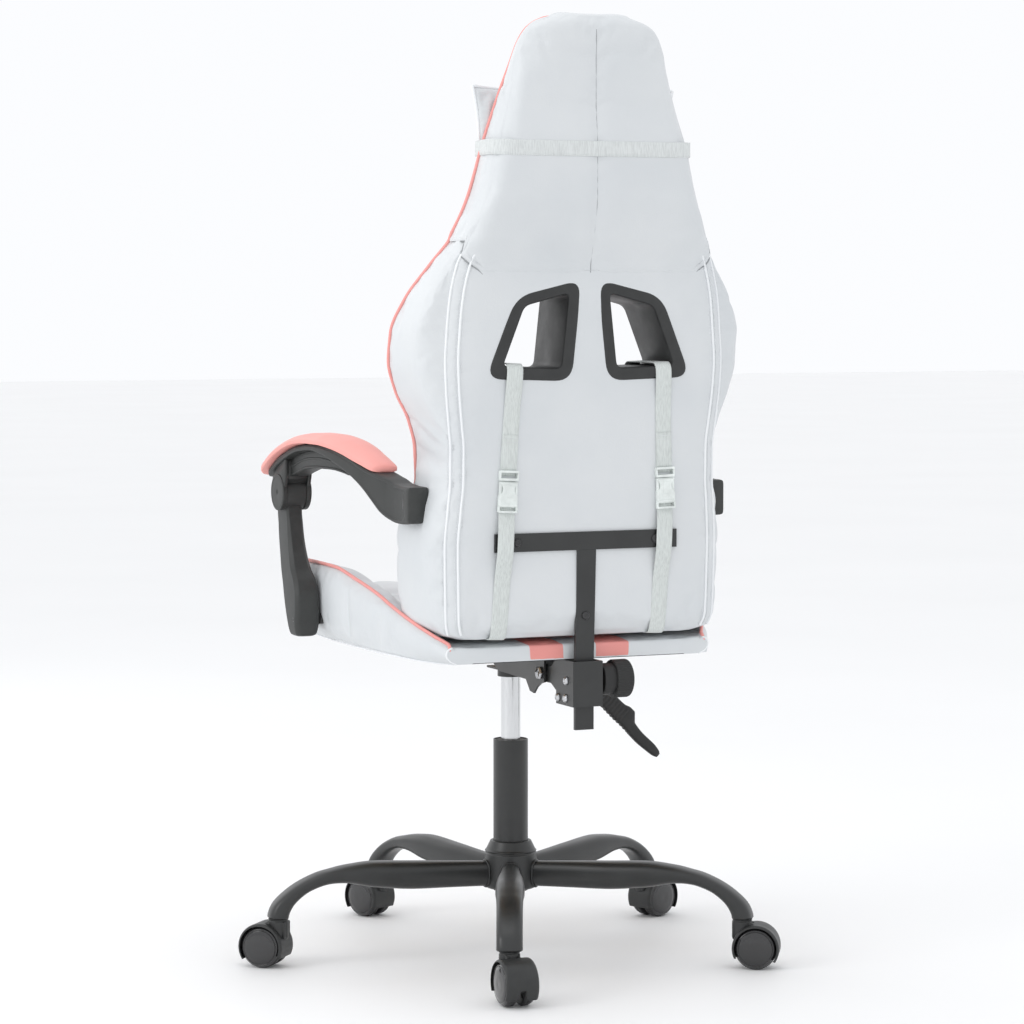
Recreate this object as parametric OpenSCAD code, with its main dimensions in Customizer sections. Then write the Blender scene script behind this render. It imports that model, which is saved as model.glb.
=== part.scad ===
// High-back swivel chair: five-leg steel base on twin-wheel casters, gas lift,
// reclining backrest and armrests that are linked to it.
// Origin on the floor under the column, +Z up, the sitter faces -Y, the sitter's left is +X.

/* [Base] */
// Distance from the column axis to each caster stem
stem_circle_r = 345; // [335:1:345]
// Outer diameter of the hub that the legs are welded to
hub_d = 76; // [72:1:80]
// Height of the underside of the leg ends above the floor
leg_end_z = 71; // [71:0.5:72]

/* [Casters] */
// Diameter of the caster wheels
wheel_d = 60; // [58:1:60]
// Width of one wheel
wheel_w = 19.5; // [17:0.5:19.5]
// Horizontal distance from the stem axis back to the wheel axle
caster_trail = 20; // [18:1:22]

/* [Gas lift] */
// Outer diameter of the black column tube
column_d = 50; // [48:1:50]
// Height of the top of the column tube
column_top_z = 311.5; // [305:0.5:312]
// Diameter of the bright gas cylinder
cylinder_d = 28; // [28:1:28]

/* [Seat] */
// Height of the underside of the seat
seat_z = 450; // [450:1:450]
// Thickness of the plywood seat board
board_t = 12; // [9:1:15]

/* [Backrest] */
// Width of the flat steel upright
upright_w = 28; // [24:1:30]
// Length of the steel crossbar
crossbar_l = 274; // [240:2:290]
// Height of the crossbar's middle
crossbar_z = 615; // [612:1:618]
// Diameter of the big stage of the clamp knob
knob_d = 53; // [46:1:54]
// Width of the lumbar strap webbing
webbing_w = 24; // [20:1:25]

/* [Armrests] */
// Diameter of the discs at the front knuckle
knuckle_d = 53; // [50:1:53]
// Diameter of the armrest pivot bolts and pins
pin_d = 10; // [8:1:10]

/* [Hidden] */
$fn = 48;
run_fit = 0.05;       // radial clearance of a turning fit
close_fit = 0.02;     // radial clearance of a fixed fit
skin_gap = 0.3;       // gap between a soft part and what lies against it
leg_count = 5;
leg_step = 360 / leg_count;
first_leg_angle = 65.8;
caster_headings = [87, 148, 201, 293, 316];   // way each caster trails, anticlockwise from +X
wheel_r = wheel_d / 2;
wheel_gap = 8.5;                              // between the two wheels of a caster
axle_r = 4;
stem_r = 5.5;
stem_tip_r = 2.2;                             // the tip that reaches down between the wheels
hood_gap = 1;
hood_t = 2.5;
hood_r = wheel_r + hood_gap + hood_t;
hood_half_w = wheel_gap / 2 + wheel_w - 0.5;
boss_r = 14.5;
boss_top_z = leg_end_z - 0.5;
recline_y = 164;                              // recline pivot
recline_z = 425;
flange_in_x = 24.5;                           // mechanism flanges
flange_t = 3;
plate_t = 3;
plate_z = seat_z - 0.1 - plate_t;
bracket_x = 22.4;
bracket_back_y = 261;
knob_y = 239;
knob_z = 421.5;
lever_pivot_x = -35;
lever_pivot_z = 438.5;
lever_y = 15;
pin_r = pin_d / 2;
arm_low = [-122, 484];                        // [y, z] of the armrest pivots
arm_knuckle = [-181, 664.5];
arm_rear = [170, 665];
arm_x = 268;                                  // middle of the post and the knuckle
rear_block_x = 225;                           // middle of the beam's rear block
open_pivot_gap = 1.0;                         // the rear armrest pivot closes the four-bar loop
head_strap_z = 1136;
head_strap_h = 21;
webbing_t = 1.6;
strap_turn_z = 665;                           // the straps change direction at their buckles
left_strap_x = 121;
left_leans = [-2.8, -2.4];                    // above and below the buckle, in degrees
right_strap_x = -117.5;
right_leans = [2.1, -2];

black = [0.13, 0.13, 0.13];
plastic = [0.24, 0.25, 0.24];
white = [0.92, 0.93, 0.93];
pink = [0.98, 0.70, 0.68];
steel = [0.75, 0.76, 0.77];
grey_web = [0.85, 0.87, 0.85];
ply = [0.80, 0.66, 0.45];

// ---------- shared geometry ----------

function bezier(a, b, c, d, steps) = [
    for (i = [0 : steps])
        let (t = i / steps, s = 1 - t)
            s * s * s * a + 3 * s * s * t * b + 3 * s * t * t * c + t * t * t * d
];

// Value at x in a list of [x, value, value ...] rows, with smoothed steps between the rows
function row_at(rows, x) =
    let (
        last = len(rows) - 1,
        k = max([0, for (i = [0 : last - 1]) if (x >= rows[i][0]) i]),
        t = min(1, max(0, (x - rows[k][0]) / (rows[k + 1][0] - rows[k][0])))
    ) rows[k] + t * (rows[k + 1] - rows[k]);

function power(v, e) = sign(v) * pow(abs(v), e);

// Points of a rounded box outline: e = 1 is an ellipse, smaller is squarer
function rounded_ring(half_u, half_v, e, count) = [
    for (i = [0 : count - 1])
        let (a = 360 * (i + 0.5) / count)
            [half_u * power(cos(a), e), half_v * power(sin(a), e)]
];

// Solid skin through rings of 3-D points, each ring anticlockwise about the way of travel
module loft(rings) {
    n = len(rings[0]);
    last = len(rings) - 1;
    sides = [
        for (k = [0 : last - 1], i = [0 : n - 1])
            let (a = k * n + i, b = k * n + (i + 1) % n, c = b + n, d = a + n)
                each [[a, d, c], [a, c, b]]
    ];
    near_cap = [[for (i = [0 : n - 1]) i]];
    far_cap = [[for (i = [0 : n - 1]) last * n + n - 1 - i]];
    polyhedron(points = [for (ring = rings) each ring], faces = concat(near_cap, sides, far_cap), convexity = 6);
}

// Ring square to a path that runs in a plane of constant x: [x, y, z, tilt, half width, half height]
// Tilt 0 travels along +Y, and a positive tilt dips downwards.
function path_ring(s, e, count) = [
    for (p = rounded_ring(s[4], s[5], e, count))
        [s[0] - p[0], s[1] + p[1] * sin(s[3]), s[2] + p[1] * cos(s[3])]
];

module along_x(y, z) {
    translate([0, y, z]) rotate([0, 90, 0]) children();
}

// Flat band that follows [y, z] points, as an outline in the y-z plane
function band(points, t) =
    let (
        n = len(points),
        dirs = [for (i = [0 : n - 1])
            let (d = points[min(i + 1, n - 1)] - points[max(i - 1, 0)]) d / norm(d)],
        moved = [for (i = [0 : n - 1]) points[i] + t * [-dirs[i][1], dirs[i][0]]]
    ) concat(points, [for (i = [n - 1 : -1 : 0]) moved[i]]);

module yz_sheet(outline, x, width) {
    translate([x - width / 2, 0, 0]) rotate([90, 0, 90]) linear_extrude(width) polygon(outline);
}

module mirror_pair() {
    children();
    mirror([1, 0, 0]) children();
}

// ---------- base ----------

// Stations of a leg: distance out, height, dip, half width, half height
leg_stations = [
    [32, 117.5, 0, 13, 18],
    [90, 119.5, 0, 15.5, 19],
    [150, 121.5, -2, 19.5, 20],
    [205, 125.5, 0, 20.5, 18.5],
    [245, 127.5, 5, 19.5, 13],
    [274, 124.7, 14, 18.5, 10],
    [304, 115, 36, 18, 9.5],
    [328, 99.5, 55, 18, 11],
    [341, 85, 73, 18, 13.5],
    [345.5, leg_end_z, 90, 18, 14.5]
];

function leg_ring(s) = [
    for (p = rounded_ring(s[3], s[4], 0.7, 16))
        [s[0] + p[1] * sin(s[2]), p[0], s[1] + p[1] * cos(s[2])]
];

module at_leg(k) {
    rotate([0, 0, first_leg_angle + leg_step * k]) children();
}

module at_stem(k) {
    a = first_leg_angle + leg_step * k;
    translate([stem_circle_r * cos(a), stem_circle_r * sin(a), 0]) children();
}

module base_hub() {
    color(black)
        rotate_extrude()
            polygon([
                [column_d / 2 + close_fit, 96], [hub_d / 2 - 3, 96], [hub_d / 2, 99], [hub_d / 2, 148],
                [hub_d / 2 - 2, 151], [column_d / 2 + 5, 163], [column_d / 2 + close_fit, 165]
            ]);
}

module base_legs() {
    color(black)
        difference() {
            for (k = [0 : leg_count - 1])
                at_leg(k) loft([for (s = leg_stations) leg_ring(s)]);
            translate([0, 0, 90]) cylinder(h = 70, r = hub_d / 2 + close_fit);
            for (k = [0 : leg_count - 1])
                at_stem(k) translate([0, 0, leg_end_z - 1]) cylinder(h = 16, r = stem_r + close_fit);
        }
}

module caster_stems() {
    color(steel)
        for (k = [0 : leg_count - 1])
            at_stem(k) {
                translate([0, 0, 59]) cylinder(h = 26.5, r = stem_r);
                translate([0, 0, 44]) cylinder(h = 20, r = stem_tip_r);
            }
}

// ---------- casters: local +X is the way the caster trails ----------

module caster_frame(k) {
    at_stem(k - 1) rotate([0, 0, caster_headings[k - 1]]) children();
}

module wheel_frame(k) {
    caster_frame(k) translate([caster_trail, 0, wheel_r]) rotate([90, 0, 0]) children();
}

module caster_hood(k) {
    color(black)
        difference() {
            union() {
                wheel_frame(k) cylinder(h = 2 * hood_half_w, r = hood_r, center = true);
                caster_frame(k) translate([0, 0, 34]) cylinder(h = boss_top_z - 34, r = boss_r);
            }
            wheel_frame(k)
                for (side = [-1, 1])
                    translate([0, 0, side * (wheel_gap / 2 - 1 + hood_half_w)])
                        cylinder(h = 2 * hood_half_w, r = wheel_r + hood_gap, center = true);
            caster_frame(k)
                translate([caster_trail, 0, 0]) cube([3 * wheel_d, wheel_d, 36], center = true);
            caster_frame(k)
                translate([0, 0, 58.5]) cylinder(h = 40, r = stem_r + run_fit);
            caster_frame(k)
                translate([0, 0, 43]) cylinder(h = 40, r = stem_tip_r + run_fit);
            wheel_frame(k) cylinder(h = wheel_gap + 4, r = axle_r + run_fit, center = true);
        }
}

module caster_wheels(k) {
    color(black)
        wheel_frame(k)
            for (side = [0, 1])
                mirror([0, 0, side]) translate([0, 0, wheel_gap / 2])
                    rotate_extrude()
                        polygon([
                            [axle_r + close_fit, 0], [wheel_r - 2, 0], [wheel_r, 2], [wheel_r, wheel_w - 7],
                            [wheel_r - 2, wheel_w - 3], [wheel_r - 6, wheel_w - 1],
                            [wheel_r - 12, wheel_w], [axle_r + close_fit, wheel_w + 0.5]
                        ]);
}

module caster_axle(k) {
    color(steel)
        wheel_frame(k) cylinder(h = wheel_gap + 2 * wheel_w - 2, r = axle_r, center = true);
}

// ---------- gas lift ----------

module lift_tube() {
    color(black)
        rotate_extrude()
            polygon([
                [6, 92], [column_d / 2, 92], [column_d / 2, column_top_z],
                [column_d / 2 - 2, column_top_z], [column_d / 2 - 2, 95], [6, 95]
            ]);
}

module lift_bush() {
    color(plastic)
        translate([0, 0, column_top_z - 60])
            difference() {
                cylinder(h = 59, r = column_d / 2 - 2 - close_fit);
                translate([0, 0, -1]) cylinder(h = 61, r = cylinder_d / 2 + run_fit);
            }
}

// Piston near the bottom of the chamber: the lift stands almost at its full height
module piston_rod() {
    color(steel) {
        translate([0, 0, 84]) cylinder(h = 160, r = 5);
        translate([0, 0, 86]) cylinder(h = 4, r = 9);
        translate([0, 0, 102.05]) cylinder(h = 3, r = 9);
        translate([0, 0, 241]) cylinder(h = 10, r = 11.4);
    }
}

module thrust_bearing() {
    color(steel)
        translate([0, 0, 95.05])
            difference() {
                cylinder(h = 7, r = 16);
                translate([0, 0, -1]) cylinder(h = 9, r = 5 + close_fit);
            }
}

module gas_cylinder() {
    r = cylinder_d / 2;
    color(steel)
        rotate_extrude()
            polygon([
                [5 + run_fit, 215], [r, 215], [r, 402], [r - 0.8, 426],
                [4 + run_fit, 426], [4 + run_fit, 412], [11.5, 412], [11.5, 227], [5 + run_fit, 227]
            ]);
}

module valve_pin() {
    color(steel) {
        translate([0, 0, 408]) cylinder(h = 22, r = 4);
        translate([0, 0, 429]) cylinder(h = 5, r = 2.5);
    }
}

// ---------- seat mechanism ----------

// Lower edge of a flange, front to rear
flange_outline = [
    [-34, plate_z + 1], [-34, 438], [20, 413], [114, 411], [128, 396], [141, 394],
    [152, 404], [164, 410], [176, 413], [176, plate_z + 1]
];

module mech_plate() {
    color(black)
        difference() {
            union() {
                translate([-80, -95, plate_z]) cube([160, 245, plate_t]);
                mirror_pair()
                    yz_sheet(flange_outline, flange_in_x + flange_t / 2, flange_t);
                translate([-flange_in_x, -30, 413]) cube([2 * flange_in_x, 70, plate_t]);
                for (side = [-1, 1])
                    translate([lever_pivot_x - 7, lever_y + side * 8 - 1.5, lever_pivot_z - 7])
                        cube([15, 3, plate_z - lever_pivot_z + 8]);
            }
            translate([0, 0, 405]) cylinder(h = 20, r = 19.4);
            translate([0, 0, 435]) cylinder(h = 30, r = 12);
            along_x(recline_y, recline_z) cylinder(h = 80, r = 6 + close_fit, center = true);
            translate([-40, lever_y - 5.5, lever_pivot_z - 7]) cube([25, 11, 17]);
            translate([lever_pivot_x, lever_y, lever_pivot_z])
                rotate([90, 0, 0]) cylinder(h = 30, r = 3 + run_fit, center = true);
            translate([-100, lever_y - 6, lever_pivot_z + 4.5]) cube([60, 12, 20]);
            for (x = [-62, 62], y = [-70, 120])
                translate([x, y, plate_z - 1]) cylinder(h = plate_t + 2, r = 4 + close_fit);
        }
}

module taper_socket() {
    r = cylinder_d / 2;
    color(steel)
        rotate_extrude()
            polygon([
                [r + close_fit, 402.5], [19, 402.5], [19, 427.5], [r - 0.8 + close_fit, 427.5],
                [r - 0.8 + close_fit, 426]
            ]);
}

module rod_between(a, b, r) {
    d = b - a;
    translate(a)
        rotate([0, acos(d[2] / norm(d)), atan2(d[1], d[0])])
            cylinder(h = norm(d), r = r);
}

lever_bend = [-70, lever_y, lever_pivot_z];
grip_dir = [-0.7071, 0, -0.7071];

module lever_rod() {
    color(steel) {
        rod_between([-2, lever_y, lever_pivot_z], lever_bend, 4);
        translate(lever_bend) sphere(r = 5);
        rod_between(lever_bend, lever_bend + 90 * grip_dir, 4);
        translate([-7, -6, 434.5]) cube([14, 22, 4]);
        translate([lever_pivot_x, lever_y, lever_pivot_z])
            rotate([90, 0, 0]) cylinder(h = 22, r = 3, center = true);
    }
}

// Grip outline along the lever: distance from the bend, upper edge, lower edge, half thickness
grip_stations = [
    [66, 9, -9, 7], [80, 12, -12, 8], [110, 13, -13, 8], [132, 14, -13, 8], [150, 18, -12, 8],
    [158, 12, -12, 7], [166, 5, -12, 6], [185, 4, -12, 6], [210, 5, -9, 6], [228, 2, -6, 4]
];

module lever_grip() {
    color(black)
        difference() {
            translate(lever_bend)
                rotate([0, 135, 180])
                    loft([
                        for (s = grip_stations) [
                            for (p = rounded_ring((s[1] - s[2]) / 2, s[3], 0.6, 12))
                                [p[0] + (s[1] + s[2]) / 2, p[1], s[0]]
                        ]
                    ]);
            rod_between(lever_bend, lever_bend + 91 * grip_dir, 4 + close_fit);
        }
}

module pivot_axle() {
    color(steel)
        along_x(recline_y, recline_z) {
            cylinder(h = 2 * (flange_in_x + flange_t) + 10, r = 6, center = true);
            for (side = [0, 1])
                mirror([0, 0, side]) translate([0, 0, flange_in_x + flange_t]) cylinder(h = 4, r = 8);
        }
}

module seat_bolts() {
    color(steel)
        for (x = [-62, 62], y = [-70, 120])
            translate([x, y, plate_z - 5]) {
                cylinder(h = 5, r = 6.5, $fn = 6);
                cylinder(h = 5 + plate_t + board_t, r = 4);
            }
}

// ---------- seat ----------

board_half_w = 188;
board_front_y = -236;
board_rear_y = 212;

module seat_board() {
    color(ply)
        difference() {
            translate([-board_half_w, board_front_y, seat_z])
                cube([2 * board_half_w, board_rear_y - board_front_y, board_t]);
            for (x = [-62, 62], y = [-70, 120])
                translate([x, y, seat_z - 1]) cylinder(h = board_t + 2, r = 4 + close_fit);
        }
}

// y, half width at the bottom, widest half width, crest height, crest inner x, height of the sitting face
seat_stations = [
    [-270, 176, 196, 492, 150, 490],
    [-262, 200, 222, 518, 168, 508],
    [-240, 212, 238, 546, 175, 520],
    [-195, 216, 244, 562, 178, 520],
    [-90, 221, 242, 560, 178, 512],
    [-30, 222, 238, 548, 180, 507],
    [27, 223, 234, 536, 182, 502],
    [80, 220, 229, 520, 190, 494],
    [86, 219, 228, 518, 207, 480],
    [157, 212, 222, 499, 206, 476],
    [200, 202, 214, 487, 203, 473],
    [226, 188, 201, 474, 186, 469],
    [232, 184, 195, 469.5, 180, 467.5]
];

function seat_half(s) =
    let (h = s[3] - seat_z) [
        [s[1], seat_z], [s[2] - 4, seat_z + 0.2 * h], [s[2], seat_z + 0.5 * h],
        [s[2] - 2, seat_z + 0.85 * h], [s[2] - 10, s[3]], [(s[2] - 10 + s[4]) / 2 + 2, s[3] - 3],
        [s[4], s[5] + 2], [s[4] - 20, s[5]]
    ];

function seat_ring(s) =
    let (half = seat_half(s), n = len(half))
        concat(
            [for (i = [n - 1 : -1 : 0]) [half[i][0], s[0], half[i][1]]],
            [for (i = [0 : n - 1]) [-half[i][0], s[0], half[i][1]]]);

module seat_cushion() {
    color(white)
        difference() {
            loft([for (s = seat_stations) seat_ring(s)]);
            translate([-board_half_w - skin_gap, board_front_y - skin_gap, seat_z - 1])
                cube([
                    2 * (board_half_w + skin_gap),
                    board_rear_y - board_front_y + 2 * skin_gap,
                    board_t + 1 + skin_gap
                ]);
            mirror_pair() {
                translate([149, arm_low[0] - 31, seat_z + 1]) cube([47.5, 62, 58]);
                translate([190, arm_low[0] - 10, arm_low[1] - 10]) cube([70, 20, 20]);
            }
        }
}

// Bent steel plates that carry the front armrest pivots, inside the cushion
module arm_brackets() {
    color(steel)
        mirror_pair()
            difference() {
                union() {
                    translate([150, arm_low[0] - 30, seat_z + board_t]) cube([46, 60, 4]);
                    translate([192, arm_low[0] - 30, seat_z + board_t]) cube([4, 60, 46]);
                }
                along_x(arm_low[0], arm_low[1]) cylinder(h = 300, r = pin_r + close_fit);
            }
}

module post_pivot_bolts() {
    color(steel)
        mirror_pair()
            along_x(arm_low[0], arm_low[1]) {
                translate([0, 0, 188]) cylinder(h = 92, r = pin_r);
                translate([0, 0, 280]) cylinder(h = 4, r = 8);
                translate([0, 0, 198]) cylinder(h = 50.8, r = 8);
            }
}

// ---------- backrest hardware ----------

bracket_side = [
    [205, 387], [bracket_back_y, 387], [bracket_back_y, 449.5], [205, 449.5], [190, 437],
    [recline_y, 437], [recline_y, 413], [188, 413], [205, 405]
];

module back_bracket() {
    color(black)
        difference() {
            union() {
                mirror_pair() {
                    yz_sheet(bracket_side, bracket_x - 1.5, 3);
                    translate([bracket_x - 3, 0, 0]) along_x(recline_y, recline_z) cylinder(h = 3, r = 12);
                }
                translate([-bracket_x, bracket_back_y - 3, 387]) cube([2 * bracket_x, 3, 62.5]);
            }
            along_x(recline_y, recline_z) cylinder(h = 80, r = 6 + run_fit, center = true);
            for (p = [[knob_y, knob_z], [212, 396], [237, 397]])
                along_x(p[0], p[1]) cylinder(h = 80, r = 4 + close_fit, center = true);
        }
}

module bracket_bolts() {
    color(steel) {
        for (p = [[212, 396], [237, 397]])
            along_x(p[0], p[1]) {
                translate([0, 0, -bracket_x - 4]) cylinder(h = 2 * bracket_x + 4, r = 4);
                translate([0, 0, bracket_x]) dome_head(5.5, 3.5);
                translate([0, 0, -bracket_x - 4]) cylinder(h = 4, r = 6.5, $fn = 6);
            }
        along_x(knob_y, knob_z) {
            translate([0, 0, -66]) cylinder(h = 66 + bracket_x, r = 4);
            translate([0, 0, bracket_x]) dome_head(5.5, 3.5);
        }
    }
}

// Low button head that stands on z = 0
module dome_head(r, h) {
    rotate_extrude()
        polygon([[0, 0], [r, 0], [r * 0.95, h * 0.4], [r * 0.7, h * 0.8], [r * 0.35, h], [0, h]]);
}

module clamp_knob() {
    flutes = 20;
    color(black)
        along_x(knob_y, knob_z)
            mirror([0, 0, 1])
                difference() {
                    union() {
                        translate([0, 0, bracket_x + 0.3]) cylinder(h = 8, r = knob_d / 2 - 15);
                        translate([0, 0, bracket_x + 4.8]) cylinder(h = 19.5, r = knob_d / 2 - 4.5);
                        translate([0, 0, 45]) cylinder(h = 25, r = knob_d / 2);
                    }
                    translate([0, 0, 20]) cylinder(h = 47, r = 4 + run_fit);
                    for (i = [0 : flutes - 1])
                        rotate([0, 0, i * 360 / flutes])
                            translate([knob_d / 2 + 1.2, 0, 44]) cylinder(h = 27, r = 2.2);
                }
}

// Rear edge of the upright, bottom to top, as [y, z]
upright_t = 6;
crossbar_y = 257;
upright_edge = [[250, 354], [250, 449], [257, crossbar_z - 12.5]];

module back_bar() {
    color(black)
        difference() {
            yz_sheet(
                concat(upright_edge, [for (i = [2 : -1 : 0]) upright_edge[i] - [upright_t, 0]]),
                0, upright_w);
            translate([0, 270, 512]) rotate([90, 0, 0]) cylinder(h = 50, r = 3 + close_fit);
        }
}

module back_crossbar() {
    color(black)
        difference() {
            translate([-crossbar_l / 2, crossbar_y - 5, crossbar_z - 12.5]) cube([crossbar_l, 5, 25]);
            for (x = [-104, 104])
                translate([x, 270, crossbar_z]) rotate([90, 0, 0]) cylinder(h = 30, r = 3 + close_fit);
        }
}

module back_bolts() {
    color(black) {
        for (x = [-104, 104])
            translate([x, crossbar_y, crossbar_z]) rotate([-90, 0, 0]) {
                dome_head(5.5, 3);
                translate([0, 0, -24]) cylinder(h = 24, r = 3);
            }
        translate([0, 253.1, 512]) rotate([-90, 0, 0]) {
            dome_head(5.5, 3);
            translate([0, 0, -24]) cylinder(h = 24, r = 3);
        }
    }
}

// ---------- backrest ----------

// z, half width, front edge y, sitting face y, half width of the rear panel, rear y, rear y of the side
back_stations = [
    [484, 178, 124, 134, 164, 236, 210],
    [490, 196, 108, 126, 180, 244, 208],
    [510, 205, 94, 124, 186, 249, 208],
    [545, 207, 90, 126, 187, 250, 208],
    [610, 210, 89, 136, 188, 251, 209],
    [700, 202, 126, 148, 182, 256, 212],
    [740, 204, 133, 154, 182, 257, 214],
    [780, 213, 132, 160, 186, 259, 216],
    [820, 229, 124, 166, 190, 261, 220],
    [860, 239, 124, 172, 192, 262, 224],
    [898, 239, 132, 178, 190, 262, 232],
    [943, 225, 148, 184, 186, 263, 242],
    [990, 199, 175, 196, 176, 265, 250],
    [1030, 176, 200, 208, 158, 276, 260],
    [1085, 157, 215, 214, 140, 286, 268],
    [1150, 142, 219, 216, 124, 286, 268],
    [1210, 125, 219, 217, 108, 281, 264],
    [1275, 110, 225, 221, 94, 281, 264],
    [1295, 104, 227, 225, 88, 282, 265],
    [1312, 94, 230, 228, 78, 282, 266],
    [1323, 80, 234, 232, 64, 280, 265],
    [1330, 60, 238, 237, 46, 276, 264]
];

function back_half(s) =
    let (corner = [(s[1] + s[4]) / 2 + 0.25 * (s[1] - s[4]), s[5] - 0.3 * (s[5] - s[6])]) [
        [s[1] * 0.62, s[3]], [s[1] - 30, (s[2] + s[3]) / 2], [s[1] - 10, s[2]], [s[1], s[2] + 10],
        [s[1], s[6]], corner, [s[4], s[5]]
    ];

function back_outline(z) =
    let (half = back_half(row_at(back_stations, z)))
        concat(half, [for (i = [len(half) - 1 : -1 : 0]) [-half[i][0], half[i][1]]]);

function back_ring(z) = [for (p = back_outline(z)) [p[0], p[1], z]];

// Corners of a window's opening as [x, z], for the left window
window_opening = [[31, 952], [96, 935], [129, 854], [42, 851]];

module window_shape(grow) {
    offset(r = grow) offset(delta = -6) polygon(window_opening);
}

module through_back(side) {
    mirror([side < 0 ? 1 : 0, 0, 0])
        translate([0, 300, 0]) rotate([90, 0, 0]) children();
}

side_tube = [178, 212];     // [x, y] of the upright frame tubes
head_tube = [72, 228];      // and of the two that hold the headrest
frame_r = 10;

// Steel frame inside the cushion. grow widens it into the pocket that it sits in.
module frame_shape(grow) {
    mirror_pair() {
        translate([side_tube[0], side_tube[1], 505 - grow]) cylinder(h = 480 + 2 * grow, r = frame_r + grow);
        translate([head_tube[0], head_tube[1], 962]) cylinder(h = 308 + grow, r = frame_r - 1 + grow);
        translate([174, 0, 0])
            along_x(arm_rear[0], arm_rear[1]) cylinder(h = 22 + grow, r = 12 + grow);
        translate([180 - grow, arm_rear[0] - 6, arm_rear[1] - 14 - grow])
            cube([6 + 2 * grow, 42, 28 + 2 * grow]);
    }
    translate([-174, 0, 0]) along_x(220, 972) cylinder(h = 348, r = frame_r - 1 + grow);
    translate([-head_tube[0], 0, 0]) along_x(head_tube[1], 1255) cylinder(h = 2 * head_tube[0], r = 8 + grow);
    translate([-174, 206 - grow, crossbar_z - 14 - grow]) cube([348, 32 + grow, 28 + 2 * grow]);
    translate([-174, 215 - grow, 503 - grow]) cube([348, 17 + grow, 20 + 2 * grow]);
}

module back_frame() {
    color(steel)
        difference() {
            frame_shape(0);
            for (x = [-104, 104])
                translate([x, 270, crossbar_z]) rotate([90, 0, 0]) cylinder(h = 39, r = 3 + close_fit);
            translate([0, 250, 512]) rotate([90, 0, 0]) cylinder(h = 23, r = 3 + close_fit);
            mirror_pair()
                translate([160, 0, 0]) along_x(arm_rear[0], arm_rear[1]) cylinder(h = 60, r = pin_r + close_fit);
        }
}

module back_cushion() {
    color(white)
        difference() {
            loft([for (s = back_stations) back_ring(s[0])]);
            for (side = [-1, 1])
                through_back(side) {
                    linear_extrude(240) window_shape(9.5);
                    linear_extrude(39.3) window_shape(24.3);
                }
            frame_shape(0.8, $fn = 12);
            translate([0, 250, 512]) rotate([90, 0, 0]) cylinder(h = 25, r = 3.6, $fn = 12);
            translate([-crossbar_l / 2 - 1, 238, crossbar_z - 14.5]) cube([crossbar_l + 2, 40, 29]);
            translate([-upright_w / 2 - 1, 242, 470]) cube([upright_w + 2, 40, 140]);
            mirror_pair()
                translate([196, arm_rear[0] - 9, arm_rear[1] - 9]) cube([30, 18, 18]);
        }
}

// Liner through the cushion with a flange on the rear face
module window_bezel(side) {
    color(plastic)
        through_back(side)
            difference() {
                union() {
                    translate([0, 0, 34]) linear_extrude(5) window_shape(24);
                    translate([0, 0, 34]) linear_extrude(92) window_shape(9.2);
                }
                translate([0, 0, 30]) linear_extrude(110) window_shape(6);
            }
}

module head_pillow() {
    color(white)
        loft([
            for (s = [[0, 0.2, 0.2], [5, 0.5, 0.62], [18, 0.68, 0.86], [44, 0.84, 1], [68, 0.95, 0.95], [81, 0.99, 0.84]])
                [for (p = rounded_ring(152 * s[1], 88 * s[2], 0.62, 28)) [-p[0], 130 + s[0], 1146 + p[1]]]
        ]);
}

module head_strap() {
    lift = 0.4;
    color(grey_web)
        translate([0, 0, head_strap_z])
            linear_extrude(head_strap_h)
                intersection() {
                    difference() {
                        offset(delta = lift + 1.6) polygon(back_outline(head_strap_z));
                        offset(delta = lift) polygon(back_outline(head_strap_z));
                    }
                    translate([-200, 212]) square([400, 100]);
                }
}

module lumbar_pillow() {
    color(white)
        loft([
            for (s = [[0, 0.3, 0.3], [6, 0.7, 0.68], [20, 0.92, 0.9], [42, 1, 1], [62, 0.97, 0.96], [74, 0.8, 0.78]])
                [for (p = rounded_ring(150 * s[1], 92 * s[2], 0.6, 28)) [-p[0], 50 + s[0], 646 + p[1]]]
        ]);
}

// Webbing in two lengths that meet in a buckle: over the window sill, and down under the backrest
upper_run = [
    [130, 735], [152, 790], [163, 845], [172, 858.8], [266, 858.8], [269, 855], [268.6, 849], [268.2, 832],
    [264, 800], [261.8, 760], [259, 704]
];
lower_run = [
    [259, 668], [262.3, 640], [262.3, 600], [254.5, 560], [251.8, 510], [247, 486], [240, 481.8], [130, 481.8]
];

module leaning(x, lean) {
    translate([x, 0, strap_turn_z]) rotate([0, lean, 0]) translate([-x, 0, -strap_turn_z]) children();
}

module lumbar_strap(x, leans) {
    color(grey_web) {
        leaning(x, leans[0]) yz_sheet(band(upper_run, -webbing_t), x, webbing_w);
        leaning(x, leans[1]) yz_sheet(band(lower_run, -webbing_t), x, webbing_w);
    }
}

module buckle(x, leans) {
    color(grey_web)
        leaning(x, leans[0])
            difference() {
                translate([x - 13.8, 256.5, 659]) cube([27.6, 8.8, 53]);
                translate([x - 12.6, 256, 703]) cube([25.2, 5.4, 10]);
                translate([x - 12.6, 256, 658]) cube([25.2, 5.4, 10]);
                for (side = [-1, 1])
                    translate([x + side * 13.2, 250, 688]) rotate([-90, 0, 0]) cylinder(h = 30, r = 5);
                translate([x - 5, 262, 680]) cube([10, 10, 16]);
            }
}

// ---------- armrests, modelled for the left side ----------

module arm_rear_bolts() {
    color(steel)
        mirror_pair()
            along_x(arm_rear[0], arm_rear[1]) {
                translate([0, 0, 180]) cylinder(h = 55, r = pin_r);
                translate([0, 0, 235]) cylinder(h = 4, r = 9);
                translate([0, 0, 197]) cylinder(h = 11.4, r = 8.5);
            }
}

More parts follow.
